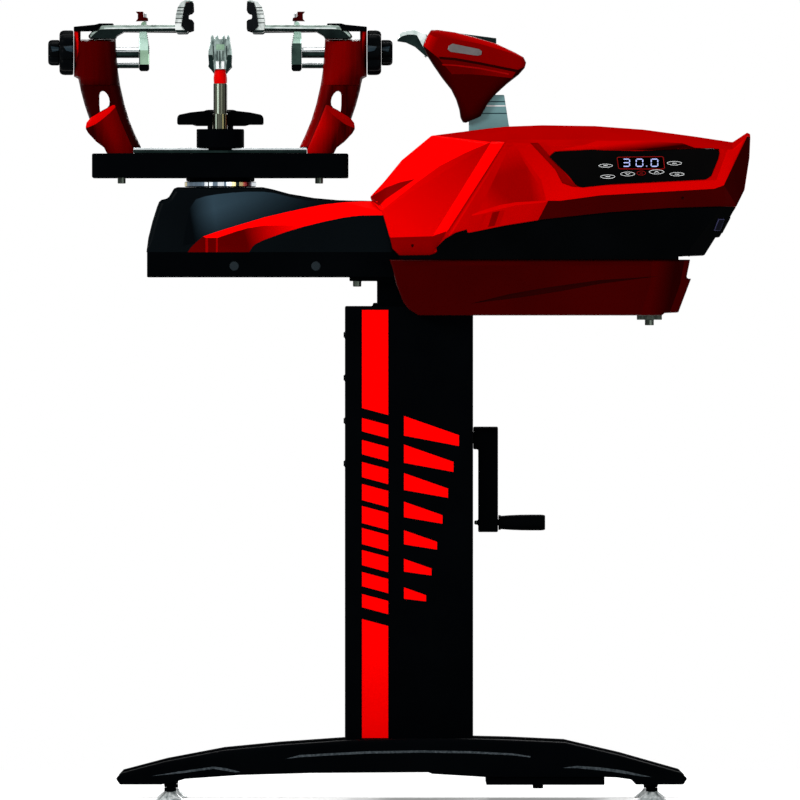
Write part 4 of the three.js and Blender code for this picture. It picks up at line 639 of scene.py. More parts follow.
def column():
    bm = shapeFrom("column_shell")
    soften(bm, columnSizes["edge"])
    for outline in columnPrint():
        dress(bm, outline, 1, 0, columnSizes["face"])
    addPiece("columnShell", bm, "stand", ["blackPowder", "redBright"], ["column_shell"])
    tube = shapeFrom("lift_tube")
    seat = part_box("chassis")[0].z
    soften(tube, plain, where=lambda e: abs(middleOf(e).z - seat) > columnSizes["seatNear"])
    for vert in tube.verts:
        if abs(vert.co.z - seat) < columnSizes["seatNear"]:
            vert.co.z = seat + columnSizes["seatSink"]
    dress(tube, oblong(*columnSizes["bolt"]), 1, 0, columnSizes["boltDepth"])
    addPiece("liftTube", tube, "head", ["blackPowder", "steelDark"], ["lift_tube"])


crankSizes = {
    "edge": 0.0022, "bolt": 0.0046,
    "grip": [(0, 0), (0.0112, 0), (0.0116, 0.0008), (0.0116, 0.003), (0.0106, 0.0042), (0.0106, 0.006),
        (0.0114, 0.016), (0.0122, 0.034), (0.0124, 0.05), (0.0124, 0.066), (0.0121, 0.07), (0.0112, 0.0726),
        (0.0104, 0.073), (0.0068, 0.073), (0.0064, 0.0716), (0, 0.0716)]}


def crank():
    arm = shapeFrom("crank_arm")
    soften(arm, crankSizes["edge"], 3)
    low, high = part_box("crank_grip")
    middle = (low.z + high.z) / 2
    paintWhere(arm, 1, lambda spot, way: hypot(spot.y, spot.z - middle) < crankSizes["bolt"] and spot.x > 0)
    addPiece("crankArm", arm, "crank", ["blackPowder", "steelDark"], ["crank_arm"])
    grip = turnedShape(crankSizes["grip"], (low.x, 0, middle), (1, 0, 0), 48)
    addPiece("crankGrip", grip, "grip", ["blackMoulded"], ["crank_grip"])


column()
crank()
print("stand and column made")

# Head: chassis, covers and what shows on them
frontSizes = {
    "half": 0.08, "edge": 0.009, "edgeFoot": 251.5, "plugs": -0.0803, "paint": 0.03,
    "cutStart": (330, 199), "cutEnd": (395.6, 215),
    "outline": [(146.6, 252.2), (146.6, 251), (148.3, 238), (152.4, 221.5), (157, 207), (159, 202), (161.5, 199.8),
        (166.5, 198.6), (169, 196.8), (174, 188.6), (177.3, 187.2), (262.7, 187.2), (272.7, 189.3), (289.3, 193.8),
        (314, 198), (339, 200.2), (395.6, 201.4), (395.6, 252.2)],
    "flash": [(187.5, 252.6), (191, 247.6), (196, 242.6), (203.1, 236.6), (214, 232.8), (226.1, 228.9),
        (247.1, 222.6), (264.4, 217.4), (285.4, 212.5), (304.5, 208.3), (323.7, 204.6), (342.8, 202.4),
        (361.9, 201.4), (397, 201.2), (397, 215.2), (361.9, 215.5), (352, 216.4), (342.8, 217.8), (323.7, 221.7),
        (302.6, 227), (285.4, 232.2), (264.4, 239.8), (255.4, 244.2), (252.6, 246.8), (248.9, 252.6)],
    # Painted shade over the flash's lower left
    "flashShade": [(187.5, 252.6), (191, 247.6), (196, 242.6), (203.1, 236.6), (206, 238), (217.5, 238), (226, 235),
        (236, 231.6), (247, 228.5), (264, 225.7), (283.5, 225.4), (297, 225.7), (304, 226.6), (302.6, 227),
        (285.4, 232.2), (264.4, 239.8), (255.4, 244.2), (252.6, 246.8), (248.9, 252.6)],
    # Painted highlights on two ridges in that shade
    "ridges": [[(205.5, 238.2), (208.1, 238.3), (208.1, 252.6), (205.5, 252.6)], [(216, 238.2), (217.9, 238.2),
        (217.9, 252.6), (216, 252.6)]],
    # A painted sheen on the black top
    "sheen": [(183, 246), (186, 226), (190, 208), (196, 199.4), (205, 196.4), (217, 194.4), (232, 192.8),
        (247, 191.8), (262, 191.8), (274, 193), (290, 197), (306, 200.4), (335, 203.4), (323.7, 204.6),
        (304.5, 208.3), (285.4, 212.5), (264.4, 217.4), (247.1, 222.6), (226.1, 228.9), (214, 232.8), (203.1, 236.6),
        (196, 242.6)]}


def frontHead():
    chassis = shapeFrom("chassis")
    soften(chassis, small)
    paintWhere(chassis, 1, lambda spot, way: spot.y < frontSizes["plugs"] and spot.x < 0)
    addPiece("chassisChannel", chassis, "head", ["blackPowder", "greyPlug"], ["chassis"])
    half = frontSizes["half"]
    cover = plate(frontSizes["outline"], half)
    foot = level(frontSizes["edgeFoot"])
    soften(cover, frontSizes["edge"], 4, 50, lambda e: abs(middleOf(e).y) > half - small and middleOf(e).z > foot)
    (startX, startZ), (endX, endZ) = places([frontSizes["cutStart"], frontSizes["cutEnd"]])
    for side in (-1, 1):
        split(cover, (startX, side * half, startZ), (startZ - endZ, side * (endX - startX), endX - startX), True)
    # The flash inlay, painted shade on its lower left, painted highlights on its ridges and a painted sheen above it
    for index, name in ((1, "flash"), (2, "flashShade"), (4, "sheen")):
        dress(cover, frontSizes[name], index, 0, frontSizes["paint"])
    for ridge in frontSizes["ridges"]:
        dress(cover, ridge, 3, 0, frontSizes["paint"])
    addPiece("frontCover", cover, "head",
             ["blackSheen", "redBright", "redFlashShade", "redRidgeHighlight", "sheenSoft"], ["front_cover"])


mainSizes = {
    "edge": 0.0014, "edgeAngle": 14, "paint": 0.01, "rim": 0.0006,
    "looks": ["redCrown", "redLitFacet", "redLitGradient", "redStreakedReflection", "redFoldShade", "redLow", "redGrooveShade", "redLitSide", "redEndShade",
        "redShadeStreak", "redBrowShadow", "redSeam", "redSill", "redLightPool"],
    # Regions with their look's index, a height and an outline. They paint light and shade on the cover: lit facets,
    # painted highlight lines, painted shade in folds and recesses, on the lower band and the end wall, and a painted
    # shadow above the panel
    "regions": [(3, 0, [(508, 140), (727, 140), (727, 150), (716, 189), (548, 201), (536, 224), (455, 245),
        (436, 258), (436, 252)]), (1, 0, [(360, 190), (372, 175), (428, 126), (436, 135.6), (491, 142.2),
        (466, 152.8), (440, 166), (415, 184), (381.5, 210.5), (364, 203)]), (2, 0, [(381.5, 210.5), (415, 184),
        (440, 166), (466, 152.8), (491, 142.2), (432.6, 236.4), (390.6, 237.8), (380, 216)]),
        (1, 0.0012, [(491, 142.2), (504.6, 142.6), (449.5, 231), (432.6, 236.4)]), (4, 0, [(386, 237.8),
        (432.6, 236.4), (446, 231.6), (437.5, 252.6), (430, 258), (392, 258), (388, 250)]), (9, 0, [(366, 196.6),
        (371.5, 196.4), (385.5, 187.8), (400, 182.4), (414.8, 179.2), (405.9, 185.3), (385.5, 199.3), (379, 206)]),
        (11, -0.0004, [(504.4, 143), (505.6, 143), (435.8, 252.4), (433.8, 252)]), (7, 0, [(506.8, 143), (508.2, 143),
        (440.2, 252.4), (438, 252)]), (7, 0, [(512, 142.6), (531, 143.5), (556, 168), (571, 186.5), (577, 187.4),
        (546, 200.8), (541, 180), (526, 160)]), (11, 0, [(538, 143), (546, 142.6), (551, 150), (549, 155.5)]),
        (4, -0.001, [(530, 143.2), (538, 143), (549, 155.5), (577, 187.5), (572, 187), (562, 183.5), (555, 170)]),
        (13, 0, [(489, 190), (508.8, 148), (514, 145), (524, 162), (538, 184), (543, 200.8), (516, 202.8),
        (500, 205.6), (478, 212)]), (12, 0, [(472, 215.4), (485, 212), (500, 208), (548, 201), (536, 224), (470, 236),
        (455, 240)]), (7, 0, [(472, 214.8), (480, 211.4), (500, 205.2), (516, 202.4), (547, 200.9), (546, 202.4),
        (516, 205.6), (500, 209.2), (485, 213.4), (472, 216)]), (4, 0, [(492.4, 212.6), (499.6, 211.2), (494.6, 226),
        (488, 227.2)]), (11, 0, [(499.6, 211.2), (505, 210), (500, 225), (494.6, 226)]), (11, 0, [(483, 214.8),
        (486.5, 214), (480.5, 228.4), (477.5, 229)]), (7, 0, [(546, 200.8), (577, 187.2), (716, 180.4), (727, 150),
        (727, 135), (733, 139), (748, 130), (723.5, 185.5), (714, 189), (600, 195.6), (560, 201)]),
        (10, 0, [(560, 149.6), (585, 145), (597, 141), (640, 141), (700, 144.4), (719, 148), (719, 151), (660, 150.6),
        (600, 150.4)]), (5, 0, [(548, 201), (560, 201), (600, 195.6), (714, 189), (723.5, 185.5), (740, 210),
        (700, 211), (600, 215), (536, 224)]), (8, 0, [(760, 120), (748.5, 133), (723.5, 185.5), (740, 212),
        (760, 190)])],
    "lips": [[(436, 248), (445, 239), (455, 233), (470, 228.6), (505, 221.6), (536, 217), (577, 212.8), (600, 210),
        (700, 206), (700, 212), (600, 217), (577, 219.6), (536, 226), (505, 230.6), (470, 238), (455, 243),
        (445, 249), (438, 255)], [(682, 255.9), (682, 249), (690, 248), (690, 255.7)]],
    "lipInner": 0.1118, "lipOuter": 0.1137,
    "recesses": [(412.5, 245.7), (682.5, 198.3)], "recess": 0.0022, "recessSink": -0.002}
housingSizes = {
    "edge": 0.004, "edgeFoot": 0.757, "edgeSide": 0.1, "plateTop": 0.7562, "paint": 0.09, "grooveSink": -0.0016,
    "room": 0.1052,
    "step": [(684, 280), (689.4, 280), (689.4, 278.8), (685.9, 278.8), (686.4, 275.6), (684.4, 275.6)],
    "groove": [(470, 303.8), (510, 294), (548, 287.4), (600, 280.2), (658, 276.4), (600, 283.8), (560, 291.4),
        (520, 297.6)],
    "shade": [(652, 256), (685, 256), (680, 284), (668, 317), (640, 317), (650, 285)],
    "strip": [(380, 256), (690, 256), (690, 265.6), (380, 265.6)]}


def mainHead():
    cover = shapeFrom("main_cover")
    soften(cover, mainSizes["edge"], 2, mainSizes["edgeAngle"])
    # Light and shade painted region by region
    for index, height, outline in mainSizes["regions"]:
        dress(cover, outline, index, height, mainSizes["paint"], mainSizes["rim"])
    # Screw recesses, sunk and painted with shade
    size = mainSizes["recess"] / pixel
    for px, py in mainSizes["recesses"]:
        dress(cover, oval(px, py, size, -size, 12), 6, mainSizes["recessSink"], mainSizes["paint"])
    addPiece("mainCover", cover, "head", mainSizes["looks"], ["main_cover"])
    lower = shapeFrom("lower_cover")
    soften(lower, plain)
    for side in (-1, 1):
        for lip in mainSizes["lips"]:
            slab(places(lip), side * mainSizes["lipInner"], side * mainSizes["lipOuter"], lower)
    addPiece("lowerCover", lower, "head", ["blackMoulded"], ["lower_cover"])


def lowerHousing():
    sizes = housingSizes
    housing = shapeFrom("lower_housing")
    soften(housing, sizes["edge"], 3, where=lambda e: middleOf(e).z > sizes["edgeFoot"]
           and abs(middleOf(e).y) > sizes["edgeSide"])
    soften(housing, fine)
    slab(places(sizes["step"]), -sizes["room"], sizes["room"], housing)
    paintWhere(housing, 3, lambda spot, way: spot.z < sizes["plateTop"])
    # A top strip in another dark red, painted shade in a band towards the right end and in the sunk groove
    for name, index, height in (("strip", 2, 0), ("shade", 4, 0), ("groove", 1, sizes["grooveSink"])):
        dress(housing, sizes[name], index, height, sizes["paint"])
    addPiece("lowerHousing", housing, "head",
             ["redDeep", "redGrooveShade", "redLow", "steelDark", "redShade"], ["lower_housing"])


frontHead()
mainHead()
lowerHousing()

# Control panel: keys with their rings, the window and its figures
panelSizes = {
    "corner": 0.004, "edge": 0.0007, "keysZ": 0.9835, "keysHalf": 0.0185, "face": -0.121,
    "window": [(616.5, 158.3), (618, 157.2), (662, 156.6), (663.3, 158), (664.5, 168.2), (662.5, 169.6),
        (619.5, 169.4), (618, 168.5)],
    "windowRing": 0.0009, "windowNear": 0.0006, "windowFar": 0.0004,
    "figures": [(626, "3"), (639.2, "0"), (654.2, "0")], "figureTop": 159.4, "figureFoot": 166.6,
    "figureHalf": 3.3, "figureNear": 0.0005, "figureFar": 0.0001, "bar": 1.0, "barInset": 0.06,
    "point": (646.4, 166.4), "pointSize": 0.55}
figureBars = {"3": "abcdg", "0": "abcdef"}
barEnds = {"a": [(-1, 1), (1, 1)], "b": [(1, 1), (1, 0)], "c": [(1, 0), (1, -1)], "d": [(-1, -1), (1, -1)],
           "e": [(-1, 0), (-1, -1)], "f": [(-1, 1), (-1, 0)], "g": [(-1, 0), (1, 0)]}


# A flat bar with pointed ends
def barPlate(bm, a, b, wide, near, far):
    ax, az = a
    bx, bz = b
    size = hypot(bx - ax, bz - az)
    ux, uz = (bx - ax) / size, (bz - az) / size
    h = wide / 2
    cut = min(h, size / 3)
    outline = [(ax, az), (ax + ux * cut - uz * h, az + uz * cut + ux * h),
               (bx - ux * cut - uz * h, bz - uz * cut + ux * h), (bx, bz),
               (bx - ux * cut + uz * h, bz - uz * cut - ux * h), (ax + ux * cut + uz * h, az + uz * cut - ux * h)]
    slab(outline, near, far, bm)


def frontOf(bm):
    return min(bm.faces, key=lambda f: f.calc_center_median().y)


def controlPanel():
    sizes = panelSizes
    panel = shapeFrom("control_panel")
    soften(panel, sizes["corner"], 4, 20, lambda e: abs((e.verts[0].co - e.verts[1].co).y) > sizes["corner"]
           and abs(middleOf(e).z - sizes["keysZ"]) > sizes["keysHalf"])
    soften(panel, sizes["edge"])
    addPiece("panelPlate", panel, "head", ["blackGloss"], ["control_panel"])
    face = sizes["face"]
    window = slab(places(sizes["window"]), face - sizes["windowNear"], face + sizes["windowFar"])
    front = frontOf(window)
    bmesh.ops.inset_region(window, faces=[front], thickness=sizes["windowRing"], use_even_offset=True)
    bmesh.ops.translate(window, verts=list(front.verts), vec=(0, sizes["windowNear"], 0))
    front.material_index = 1
    addPiece("displayWindow", window, "head", ["redPrint", "blackGloss"])
    figures = bmesh.new()
    near, far = face - sizes["figureNear"], face - sizes["figureFar"]
    top, foot = level(sizes["figureTop"]), level(sizes["figureFoot"])
    half, tall, wide = sizes["figureHalf"] * pixel, (top - foot) / 2, sizes["bar"] * pixel
    for px, figure in sizes["figures"]:
        for bar in figureBars[figure]:
            start, end = [Vector((across(px) + half * a, foot + tall * (b + 1))) for a, b in barEnds[bar]]
            inset = (end - start) * sizes["barInset"]
            barPlate(figures, start + inset, end - inset, wide, near, far)
    px, py = sizes["point"]
    point = wide * sizes["pointSize"]
    slab(oval(across(px), level(py), point, point, 12), near, far, figures)
    addPiece("displayFigures", figures, "head", ["displayBlue"])


keySizes = {
    "steps": 36, "rim": 0.0004, "ring": 0.0006, "dish": -0.0004, "sign": 0.0009, "signNear": 0.0001,
    "signFar": 0.0006, "signWide": 0.3, "signTall": 0.55,
    "signs": {"key_down": [(-1, 0.5), (0, -0.5), (1, 0.5)], "key_up": [(-1, -0.5), (0, 0.5), (1, -0.5)]},
    "plainSign": [(-1, 0), (1, 0)]}


def keys():
    sizes = keySizes
    for name in ("key_speed", "key_memory", "key_unit", "key_count", "key_down", "key_set", "key_up"):
        low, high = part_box(name)
        middle, half = (low + high) / 2, (high - low) / 2
        bm = slab(oval(middle.x, middle.z, half.x, half.z, sizes["steps"]), low.y, high.y)
        front = frontOf(bm)
        bmesh.ops.inset_region(bm, faces=[front], thickness=sizes["rim"], use_even_offset=True)
        ring = bmesh.ops.inset_region(bm, faces=[front], thickness=sizes["ring"], use_even_offset=True)["faces"]
        bmesh.ops.inset_region(bm, faces=[front], thickness=sizes["ring"], depth=sizes["dish"],
                               use_even_offset=True)
        moulded = set(bm.faces) - set(ring)
        spots = [(middle.x + a * half.x * sizes["signWide"], middle.z + b * half.z * sizes["signTall"])
                 for a, b in sizes["signs"].get(name, sizes["plainSign"])]
        for a, b in zip(spots, spots[1:]):
            barPlate(bm, a, b, sizes["sign"], low.y - sizes["signNear"], low.y + sizes["signFar"])
        for face in set(bm.faces) - moulded:
            face.material_index = 1
        addPiece(name + "Moulded", bm, name,
                 ["blackGloss", "redPrint" if name == "key_set" else "whitePrint"], [name])


controlPanel()
keys()

# Power switch and inlet on the slanted end
switchFlat = 0.999


def powerEnd():
    switch = shapeFrom("power_switch")
    whole = [f.normal.copy() for f in switch.faces]
    soften(switch, plain)
    switch.normal_update()
    paintWhere(switch, 1, lambda spot, way: max(way.dot(flat) for flat in whole) < switchFlat)
    addPiece("powerSwitch", switch, "power_switch", ["switchBlue", "switchEdge"], ["power_switch"])
    softPiece("powerInlet", "power_inlet", fine, "head", "blackMoulded")


powerEnd()

# Tension head that rides on the carriage
headSizes = {
    "edge": 0.009, "edgeSide": 0.031, "paint": 0.012, "grooveSink": -0.0008,
    # Light and shade painted on the head cover: a lit hood, a darker band under the groove, painted shade in the
    # groove, a painted highlight along the crest and a painted glint line
    "hood": [(424, 46), (437.5, 57), (455, 58), (480, 62.5), (517, 70), (535, 62), (535, 15), (415, 15), (420, 44)],
    "under": [(437.5, 57), (455, 58), (480, 62.5), (517, 70), (512, 78), (490, 75.5), (470, 74), (452, 74)],
    "groove": [(439, 56.4), (455, 57.6), (480, 62), (518, 69.6), (516, 72), (480, 64.6), (455, 60.2), (440, 59)],
    "crest": [(429, 34), (432, 25), (450, 25), (485, 32), (520, 44), (526, 55), (522, 58), (512, 53), (480, 43.6),
        (447, 37.4), (436, 37)],
    "glint": [(442, 63.8), (455, 64.4), (480, 67.4), (509, 73.2), (509, 74.6), (480, 68.9), (455, 65.8),
        (442.6, 65.2)],
    "badge": [(447.5, 49), (449, 45.5), (452.5, 43.4), (479, 48.8), (482, 51), (481.4, 54.6), (477.5, 55.6),
        (450.5, 51.6)],
    "badgeNear": -0.0332, "badgeFar": -0.0318, "badgeEdge": 0.0004}
carriageSizes = {
    "top": 94.6, "slant": 127, "inner": 490.4, "innerStep": 0.002, "right": 504, "inset": 0.0078, "noseFoot": 1.1,
    "noseLong": 0.008, "paint": 0.01,
    # Painted shade on the lower part of the bright nose
    "noseShade": [(394, 42), (398, 38.6), (402, 35.8), (408, 34.2), (414, 34.2), (417, 35), (425, 50), (432, 62),
        (424, 64), (412, 54), (402, 47)],
    "seams": [(100.8, 101.9, 4), (105, 106.2, 5), (112.6, 113.7, 4)], "seamEnds": (470, 512)}


def tensionHead():
    cover = shapeFrom("head_cover")
    soften(cover, headSizes["edge"], 5, 50, lambda e: abs(middleOf(e).y) > headSizes["edgeSide"])
    soften(cover, fine)
    # Lit and shaded tones painted region by region, the groove sunk and shaded
    for index, name in ((1, "hood"), (2, "under"), (5, "crest"), (4, "groove"), (3, "glint")):
        height = headSizes["grooveSink"] if name == "groove" else 0
        dress(cover, headSizes[name], index, height, headSizes["paint"])
    addPiece("headCover", cover, "carriage",
             ["redVee", "redHood", "redUnder", "redGlint", "redGrooveShade", "redCrestHighlight"], ["head_cover"])


def carriagePost():
    sizes = carriageSizes
    post = shapeFrom("carriage_post")
    top, slant, inner = level(sizes["top"]), level(sizes["slant"]), across(sizes["inner"])
    for place, way in (((0, 0, slant), (0, 0, 1)), ((inner, 0, 0), (1, 0, 0)),
                       ((inner + sizes["innerStep"], 0, 0), (1, 0, 0)), ((0, 0, top), (0, 0, 1))):
        split(post, place, way)
    for vert in post.verts:
        if vert.co.x > inner + small and vert.co.z > slant + small:
            vert.co.z = min(vert.co.z, top)
            if vert.co.x > across(sizes["right"]):
                vert.co.x -= sizes["inset"] * (vert.co.z - slant) / (top - slant)
    bmesh.ops.dissolve_degenerate(welded(post), edges=post.edges, dist=weld)
    soften(post, plain)
    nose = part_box("head_cover")[0].x + sizes["noseLong"]
    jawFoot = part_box("string_jaw")[0].z - small
    paintWhere(post, 2, lambda spot, way: spot.z > jawFoot)
    paintWhere(post, 1, lambda spot, way: spot.x < nose and spot.z > sizes["noseFoot"])
    # Painted shade on the lower part of the bright nose
    dress(post, sizes["noseShade"], 3)
    left, right = sizes["seamEnds"]
    for upper, lower, index in sizes["seams"]:
        dress(post, oblong(left, upper, right, lower), index, 0, sizes["paint"])
    addPiece("carriagePost", post, "carriage",
             ["greyCast", "noseBright", "steelShade", "steelShade", "greyLine", "whitePrint"], ["carriage_post"])
    softPiece("stringJaw", "string_jaw", fine, "string_jaw", "steelShade")
    badge = slab(places(headSizes["badge"]), headSizes["badgeNear"], headSizes["badgeFar"])
    soften(badge, headSizes["badgeEdge"])
    addPiece("bareBadge", badge, "carriage", ["badge"])


tensionHead()
carriagePost()
print("head made")

# Turntable. Pieces on the right and at the rear are mirrored ones
turnX = (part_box("turntable_bar")[0].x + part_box("turntable_bar")[1].x) / 2
sides = (("left", None), ("right", (0, turnX)))
ringSizes = {
    "radius": 0.056, "steps": 180, "shaft": 0.02, "gap": 0.0003, "round": 0.003, "upright": 0.5,
    # Painted reflection bands on the bearing ring, with the look index of each
    "bands": [(184.4, 3), (186.9, 0), (190.1, 0), (204.1, 1), (207.3, 2), (209.3, 1), (212.3, 0), (218.1, 1),
        (224.2, 0), (227, 1), (231.8, 3), (235.7, 2), (239.5, 3), (244.3, 1), (247.1, 0), (251, 1)]}
barSizes = {"edge": 0.0022, "railShade": (120, 149.8, 320, 156)}


# Upright bands of painted reflection, light and dark, by the photograph's places
def paintReflectionBands(bm, bands, top=2, foot=0):
    for px, index in bands:
        paintWhere(bm, index, lambda spot, way: foot < spot.z < top and spot.x > across(px)
                   and abs(way.z) < ringSizes["upright"])


def bearingRing():
    low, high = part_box("spindle")
    foot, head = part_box("front_cover")[1].z + ringSizes["gap"], high.z
    shaft, radius, curve = ringSizes["shaft"], ringSizes["radius"], ringSizes["round"]
    profile = [(0, low.z), (shaft - small, low.z), (shaft, low.z + small), (shaft, foot), (radius - curve, foot),
               (radius - tiny, foot + tiny), (radius, foot + plain), (radius, head - plain),
               (radius - tiny, head - tiny), (radius - curve, head), (0, head)]
    bm = turnedShape(profile, (turnX, 0, 0), steps=ringSizes["steps"])
    paintReflectionBands(bm, ringSizes["bands"])
    addPiece("bearingRing", bm, "turntable", ["steelReflectionBands", "ringReflectionLight", "steelShade", "ringReflectionCream"],
             ["spindle"], 20)


def turntableBar():
    softPiece("turntableBar", "turntable_bar", barSizes["edge"], "turntable", "blackPowder", 3)
    rails = shapeFrom("clamp_rails")
    soften(rails, fine)
    # Painted shade on the rails' sides, below their lit top
    dress(rails, oblong(*barSizes["railShade"]), 1)
    addPiece("clampRails", rails, "turntable", ["steel", "steelShade"], ["clamp_rails"])


bearingRing()
turntableBar()

# Towers
armPivot = (-0.4739, 0.013)
towerSizes = {
    "half": 0.028, "bodyHalf": 0.025, "edge": 0.024, "least": 0.4, "bootLeast": 0.91, "foot": 1.0086,
    "pin": (0.004, 40, 25.6), "topFace": 0.5, "angle": 40,
    "cap": [(73.5, 31), (73.5, 26.4), (95, 24.3), (99, 23.1), (113, 23.1), (113.6, 25), (100, 26.6), (94, 30.8)],
    "head": [(73.6, 30.6), (80.3, 30.6), (80.3, 39), (115.4, 39), (116.2, 55), (117.6, 70), (119.6, 84), (117, 85.8),
        (80.6, 86.8), (79, 83), (77.9, 78.6), (73.6, 76.2)],
    "body": [(78.4, 80), (80.6, 91), (84.4, 105), (88.6, 117.4), (92, 127), (103, 146), (106.5, 153), (133.2, 153),
        (133.4, 148.4), (141.2, 147.8), (135, 134.5), (129, 120), (124, 103.5), (119.6, 84), (118, 80)],
    # A painted highlight on the head's outer flank
    "flank": [(73, 31.5), (77.6, 31.5), (78.2, 42), (78, 52), (76.4, 61), (73, 66)],
    "window": [(99.7, 111.6), (99.1, 105), (99, 95), (99.8, 92), (101.8, 90.7), (104, 91), (106.6, 93.4), (108.6, 97),
        (109.4, 101), (109, 105), (107, 107.6), (103, 109.6)],
    "boot": [(85.5, 126.6), (86.2, 122.6), (90, 117.8), (101, 111.2), (112, 105.2), (114.4, 104.6), (115.4, 107),
        (122, 124), (132.8, 148.5), (133, 153), (107, 153), (104, 147.5), (96, 141.5), (88, 133), (85.6, 128.8)],
    # A painted highlight on the boot's rim
    "rim": [(84, 128.4), (84, 118), (90, 112), (113, 100), (117, 103), (115.6, 106.6), (110, 112.4), (103.5, 118),
        (96, 123.6), (90, 126.4)]}


def towers():
    sizes = towerSizes
    half, edge, least = sizes["half"], sizes["edge"], sizes["least"]
    for side, mirror in sides:
        body, sideName = side + "_tower", side.capitalize()
        foot = shapeFrom("left_tower")
        split(foot, (0, 0, sizes["foot"]), (0, 0, 1), True)
        soften(foot, small)
        radius, low, high = sizes["pin"]
        for sign in (-1, 1):
            turnedShape([(0, level(low)), (radius, level(low)), (radius, level(high)), (0, level(high))],
                        (armPivot[0], sign * armPivot[1], 0), steps=20, bm=foot)
        head = plate(sizes["head"], half)
        swell(head, sizes["head"], half, edge, least)
        # A painted highlight down the head's outer flank
        dress(head, sizes["flank"], 1)
        stem = openSlab([places(sizes["body"]), places(sizes["window"])], -half, half)
        swell(stem, sizes["body"], sizes["bodyHalf"], edge, least)
        boot = plate(sizes["boot"], half)
        swell(boot, sizes["boot"], half, edge, sizes["bootLeast"])
        # A painted highlight on the boot's rim and on its upward faces
        dress(boot, sizes["rim"], 1)
        paintWhere(boot, 1, lambda spot, way: way.z > sizes["topFace"])
        # Each side takes its own reds, with light and shade painted as from the left
        for part, bm, looks, replaced, angle in (
                ("Foot", foot, ["steelDark"], [body], 32),
                ("Cap", plate(sizes["cap"], half, small), ["blackPowder"], (), 32),
                ("Head", head, ["redTower" + sideName, "redFlank" + sideName], (), sizes["angle"]),
                ("Stem", stem, ["redStem" + sideName], (), sizes["angle"]),
                ("Boot", boot, ["redBoot" + sideName, "redRim" + sideName], (), sizes["angle"])):
            addPiece(side + "Tower" + part, bm, body, looks, replaced, angle, mirror)


# Knob profiles are places along the axis with their radius, hubs the other way round
knobSizes = {
    "lobes": 8, "scallop": 0.13, "pointsEach": 8, "capRim": 0.003, "capSink": -0.0006,
    "big": [(0, 0.0285), (0.0004, 0.0304), (0.0013, 0.0322), (0.0027, 0.0335), (0.0045, 0.0344), (0.0065, 0.0348),
        (0.009, 0.035), (0.0192, 0.035), (0.0208, 0.0345), (0.0216, 0.0335), (0.0218, 0.032)],
    "small": [(0, 0.0142), (0.0003, 0.0158), (0.0012, 0.0176), (0.0026, 0.0189), (0.0046, 0.0197), (0.0068, 0.02),
        (0.0156, 0.02), (0.0168, 0.0197), (0.0174, 0.0188)],
    "bigHub": [(0.0062, 0.001), (0.0148, 0.001), (0.0152, 0.0014), (0.0152, 0.0026), (0.0062, 0.0026)],
    "smallHub": [(0, 0), (0.0058, 0), (0.0066, 0.0008), (0.0066, 0.003), (0, 0.003)], "hubPlace": 0.0194,
    # Painted sheens on a lobe of each knob
    "sheens": [[(63.5, 46.4), (72.8, 45.2), (72.8, 51.8), (66, 50.4)], [(50.4, 46), (58.4, 47), (58.4, 50.2),
        (52, 51.4)]]}


# A knob with lobes: rings of the lobed outline, one for each place and radius of the profile
def starKnob(profile, near, height):
    bm = bmesh.new()
    lobes, scallop = knobSizes["lobes"], knobSizes["scallop"]
    steps = lobes * knobSizes["pointsEach"]
    rings = []
    for place, radius in profile:
        ring = []
        for turn in [2 * pi * i / steps for i in range(steps)]:
            reach = radius * (1 - scallop * (0.5 - 0.5 * cos(turn * lobes)) ** 3)
            ring.append(bm.verts.new((near + place, reach * cos(turn), height + reach * sin(turn))))
        rings.append(ring)
    for ring, after in zip(rings, rings[1:]):
        for i in range(steps):
            bm.faces.new((ring[i - 1], ring[i], after[i], after[i - 1]))
    for ring in (rings[0], rings[-1]):
        bmesh.ops.inset_region(bm, faces=[bm.faces.new(ring)], thickness=knobSizes["capRim"],
                               depth=knobSizes["capSink"])
    return closed(bm)


def knobs():
    low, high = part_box("left_arm_knob")
    height, farX = (low.z + high.z) / 2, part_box("left_support_knob")[0].x
    for side, mirror in sides:
        for name, size, near, hubX, steps, sheen in (
                ("arm", "big", low.x, low.x + knobSizes["hubPlace"], 36, 0), ("support", "small", farX, farX, 24, 1)):
            knob = starKnob(knobSizes[size], near, height)
            turnedShape(knobSizes[size + "Hub"], (hubX, 0, height), (1, 0, 0), steps, knob)
            # A painted sheen on one lobe
            dress(knob, knobSizes["sheens"][sheen], 1)
            node = side + "_" + name + "_knob"
            addPiece(side + name.capitalize() + "Knob", knob, node, ["blackKnob", "knobSheen"],
                     [node], mirror=mirror)


